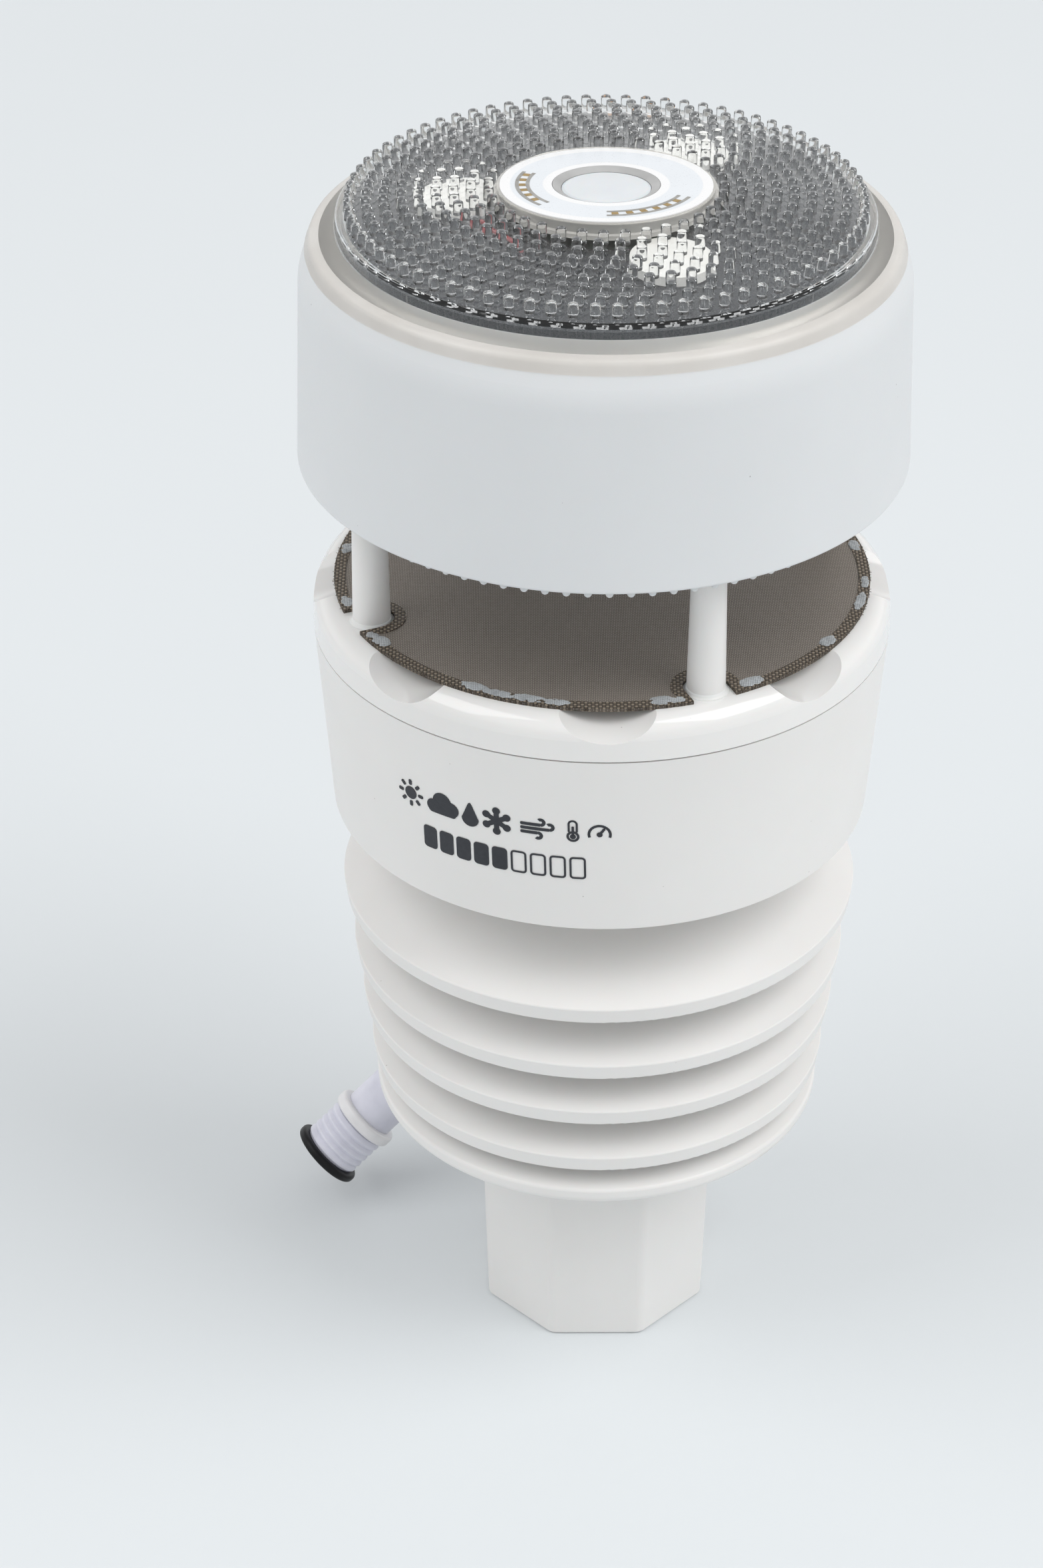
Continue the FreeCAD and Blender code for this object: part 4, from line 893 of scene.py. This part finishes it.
# Each corner of the border's outline: its reach from the axis and its height.
BORDER_OUTLINE = [
    (0.05620, 0.26176), (0.05700, 0.26162), (0.05775, 0.26145), (0.05820, 0.26105), (0.05850, 0.26035),
    (0.05908, 0.25878), (0.05890, 0.25876), (0.05836, 0.26030), (0.05793, 0.26098), (0.05725, 0.26120),
    (0.05665, 0.26153)]
border = spun("cover_border", BORDER_OUTLINE, steps=128)
frosted, tree, shader = finish("frosted_border", Transmission_Weight=0.45, IOR=1.5)
spot, tone, fine = grain_of(tree, 60.0, 2600.0)
fill(tree, shader.inputs["Base Color"], tones(tree, tone, (0.69, 0.668, 0.638), (0.75, 0.733, 0.708)))
broken_gloss(tree, shader, fine, 0.36, 0.5)
relief(tree, shader, fine, 0.15, 0.00003)
light_passes(tree, shader, (0.90, 0.89, 0.87))
fitted(border, "sensor", frosted, 60.0)

STUD_RADIUS = 0.00102
STUD_HEIGHT = 0.0026
STUD_SINK = 0.0001
STUD_ROUND_OFF = 0.00034
STUD_OUTER = 0.0502
STUD_RING_PITCH = 0.0034
STUD_ARC_PITCH = 0.0041
STUD_RINGS = 9
DOME_TOP = 0.26955
DOME_DOUBLE_CURVE = 0.834
stud = start("cylinder", "stud", vertices=14, radius=STUD_RADIUS, depth=STUD_HEIGHT + STUD_SINK,
             location=(0.0, 0.0, (STUD_HEIGHT - STUD_SINK) / 2.0))
settle(stud)
picked(stud, "FACE", lambda face: face.center.z > STUD_HEIGHT - 0.00001)
bpy.ops.mesh.bevel(offset=STUD_ROUND_OFF, segments=3, affect="EDGES")
bpy.ops.object.mode_set(mode="OBJECT")
spots = []
for ring in range(STUD_RINGS):
    reach = STUD_OUTER - STUD_RING_PITCH * ring
    count = round(2.0 * math.pi * reach / STUD_ARC_PITCH)
    for number in range(count):
        turn = 2.0 * math.pi * (number + 0.5 * (ring % 2)) / count
        height = DOME_TOP - reach ** 2 / DOME_DOUBLE_CURVE
        spots.append((reach * math.cos(turn), reach * math.sin(turn), height))
copies = [copied(stud, Matrix.Translation(spot)) for spot in spots[1:]]
stud.location = spots[0]
studs = joined("cover_studs", [stud, *copies])

stud_clear, tree, shader = finish("stud_clear", Transmission_Weight=1.0, IOR=1.5)
spot, tone, fine = grain_of(tree, 90.0, 2600.0)
fill(tree, shader.inputs["Base Color"], tones(tree, tone, (0.965, 0.972, 0.972), (0.99, 0.993, 0.993)))
broken_gloss(tree, shader, fine, 0.02, 0.07)
light_passes(tree, shader, (0.95, 0.96, 0.96))
fitted(studs, "sensor", stud_clear, 60.0)

# ---------------------------------------------------------------- puck: rain detector and light sensor
# A clear stepped puck carries a white-masked board ring with two pairs of tinned comb tracks and gold
# pads, and a matt grey well with an opal diffuser over the light sensor.

puck_clear, tree, shader = finish("puck_clear", Transmission_Weight=0.7, IOR=1.5)
spot, tone, fine = grain_of(tree, 80.0, 1800.0)
fill(tree, shader.inputs["Base Color"], tones(tree, tone, (0.86, 0.84, 0.80), (0.93, 0.92, 0.89)))
broken_gloss(tree, shader, fine, 0.04, 0.12)
relief(tree, shader, fine, 0.1, 0.00003)
light_passes(tree, shader, (0.93, 0.91, 0.87))
dress(puck_clear, "puck_housing")

mask_white, tree, shader = finish("white_mask")
spot, tone, fine = grain_of(tree, 70.0, 3000.0)
reach = reach_of(tree, spot)
inner_edge = ranged(tree, reach, 0.0122, 0.0125)
outer_edge = ranged(tree, reach, 0.0186, 0.0189, 1.0, 0.0)
track_band = sum_of(tree, "MULTIPLY", inner_edge, outer_edge)
laid = tones(tree, tone, (0.68, 0.71, 0.74), (0.71, 0.74, 0.77))
fill(tree, shader.inputs["Base Color"], over(tree, track_band, (0.80, 0.80, 0.80), laid))
broken_gloss(tree, shader, fine, 0.26, 0.38)
relief(tree, shader, track_band, 0.5, -0.00006)
dress(mask_white, "rain_detector_board")

ring_grey = opaque("grey_ring", (0.34, 0.34, 0.335), (0.46, 0.46, 0.455), 0.35, drift=120.0)
dress(ring_grey, "light_ring")

opal = opaque(
    "opal_diffuser", (0.63, 0.65, 0.67), (0.67, 0.69, 0.71), 0.34, drift=90.0,
    Subsurface_Weight=0.2, Subsurface_Scale=0.003)
dress(opal, "light_diffuser")

BOARD_LEAN = math.radians(3.4)
BOARD_RADIUS = 0.0208
BOARD_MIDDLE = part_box("rain_detector_board")[1].z - BOARD_RADIUS * math.sin(BOARD_LEAN)
TRACK_LIFT = 0.00006
TRACK_SINK = 0.00005


def printed_arc(name, reach, width, first, span, steps):
    """One stretch of track round the board, drawn level and then laid on its leaning top."""
    inner, outer = reach - width / 2.0, reach + width / 2.0
    arc = spun(name, [(inner, -TRACK_SINK), (outer, -TRACK_SINK), (outer, TRACK_LIFT), (inner, TRACK_LIFT)],
               steps=steps, turn=math.radians(span), first=math.radians(first))
    arc.rotation_euler = (-BOARD_LEAN, 0.0, 0.0)
    arc.location = (0.0, 0.0, BOARD_MIDDLE)
    settle(arc)
    return arc


COMB_BEARINGS = (-58.0, -171.0)
TRACK_SPAN = 66.0
PADS = 6
PAD_SPAN = 4.6
PAD_PITCH = 10.0
FIRST_PAD = -27.5
tinned, gold = [], []
for bearing in COMB_BEARINGS:
    for reach in (0.0153, 0.0174):
        tinned.append(printed_arc("track", reach, 0.0007, bearing - TRACK_SPAN / 2.0, TRACK_SPAN, 32))
    for pad in range(PADS):
        first = bearing + FIRST_PAD + PAD_PITCH * pad - PAD_SPAN / 2.0
        gold.append(printed_arc("pad", 0.01635, 0.0013, first, PAD_SPAN, 4))
tin = opaque("tinned_track", (0.30, 0.29, 0.27), (0.42, 0.41, 0.385), 0.42, drift=500.0, Metallic=0.5)
fitted(joined("comb_tracks", tinned), "sensor", tin)
plating = opaque("gold_pads", (0.33, 0.22, 0.075), (0.45, 0.31, 0.12), 0.4, drift=600.0, Metallic=0.6)
fitted(joined("comb_pads", gold), "sensor", plating)

# ---------------------------------------------------------------- floor and light
# A plain pale table in soft light: walls that are brightest behind the sensor, a ceiling that is brightest
# in front of it, and a large softbox high on each side, the right one stronger.

FLOOR_SIZE = 8.0
floor = start("plane", "floor", size=FLOOR_SIZE)
floor_paper = opaque("pale_floor", (0.67, 0.700, 0.716), (0.68, 0.710, 0.726), 0.6, drift=3.0, grain=900.0)
paint(floor, floor_paper)

world = bpy.data.worlds.new("studio")
bpy.context.scene.world = world
world.use_nodes = True
tree = world.node_tree
direction = place(tree, "SeparateXYZ", Vector=place(tree, "TexCoord").outputs["Generated"])
backward = ranged(tree, direction.outputs["Y"], -0.5, 0.5)
ceiling = tones(tree, backward, (0.88, 0.89, 0.90), (0.62, 0.62, 0.625))
walls = tones(tree, backward, (0.54, 0.542, 0.545), (1.14, 1.14, 1.14))
low_down = ranged(tree, direction.outputs["Z"], 0.20, 0.52, 1.0, 0.0)
fill(tree, tree.nodes["Background"].inputs["Color"], over(tree, low_down, ceiling, walls))
tree.nodes["Background"].inputs["Strength"].default_value = 0.95

AIM = Vector((0.0, 0.0, 0.15))
for name, spot, width, power in (
        ("softbox_right", (2.4, -1.1, 3.3), 2.6, 80.0),
        ("softbox_left", (-2.3, -0.7, 2.9), 2.4, 36.0)):
    lamp = bpy.data.lights.new(name, "AREA")
    lamp.size = width
    lamp.energy = power
    holder = bpy.data.objects.new(name, lamp)
    bpy.context.scene.collection.objects.link(holder)
    holder.location = spot
    holder.rotation_euler = (AIM - Vector(spot)).to_track_quat("-Z", "Y").to_euler()

bpy.context.scene.view_settings.view_transform = "Standard"
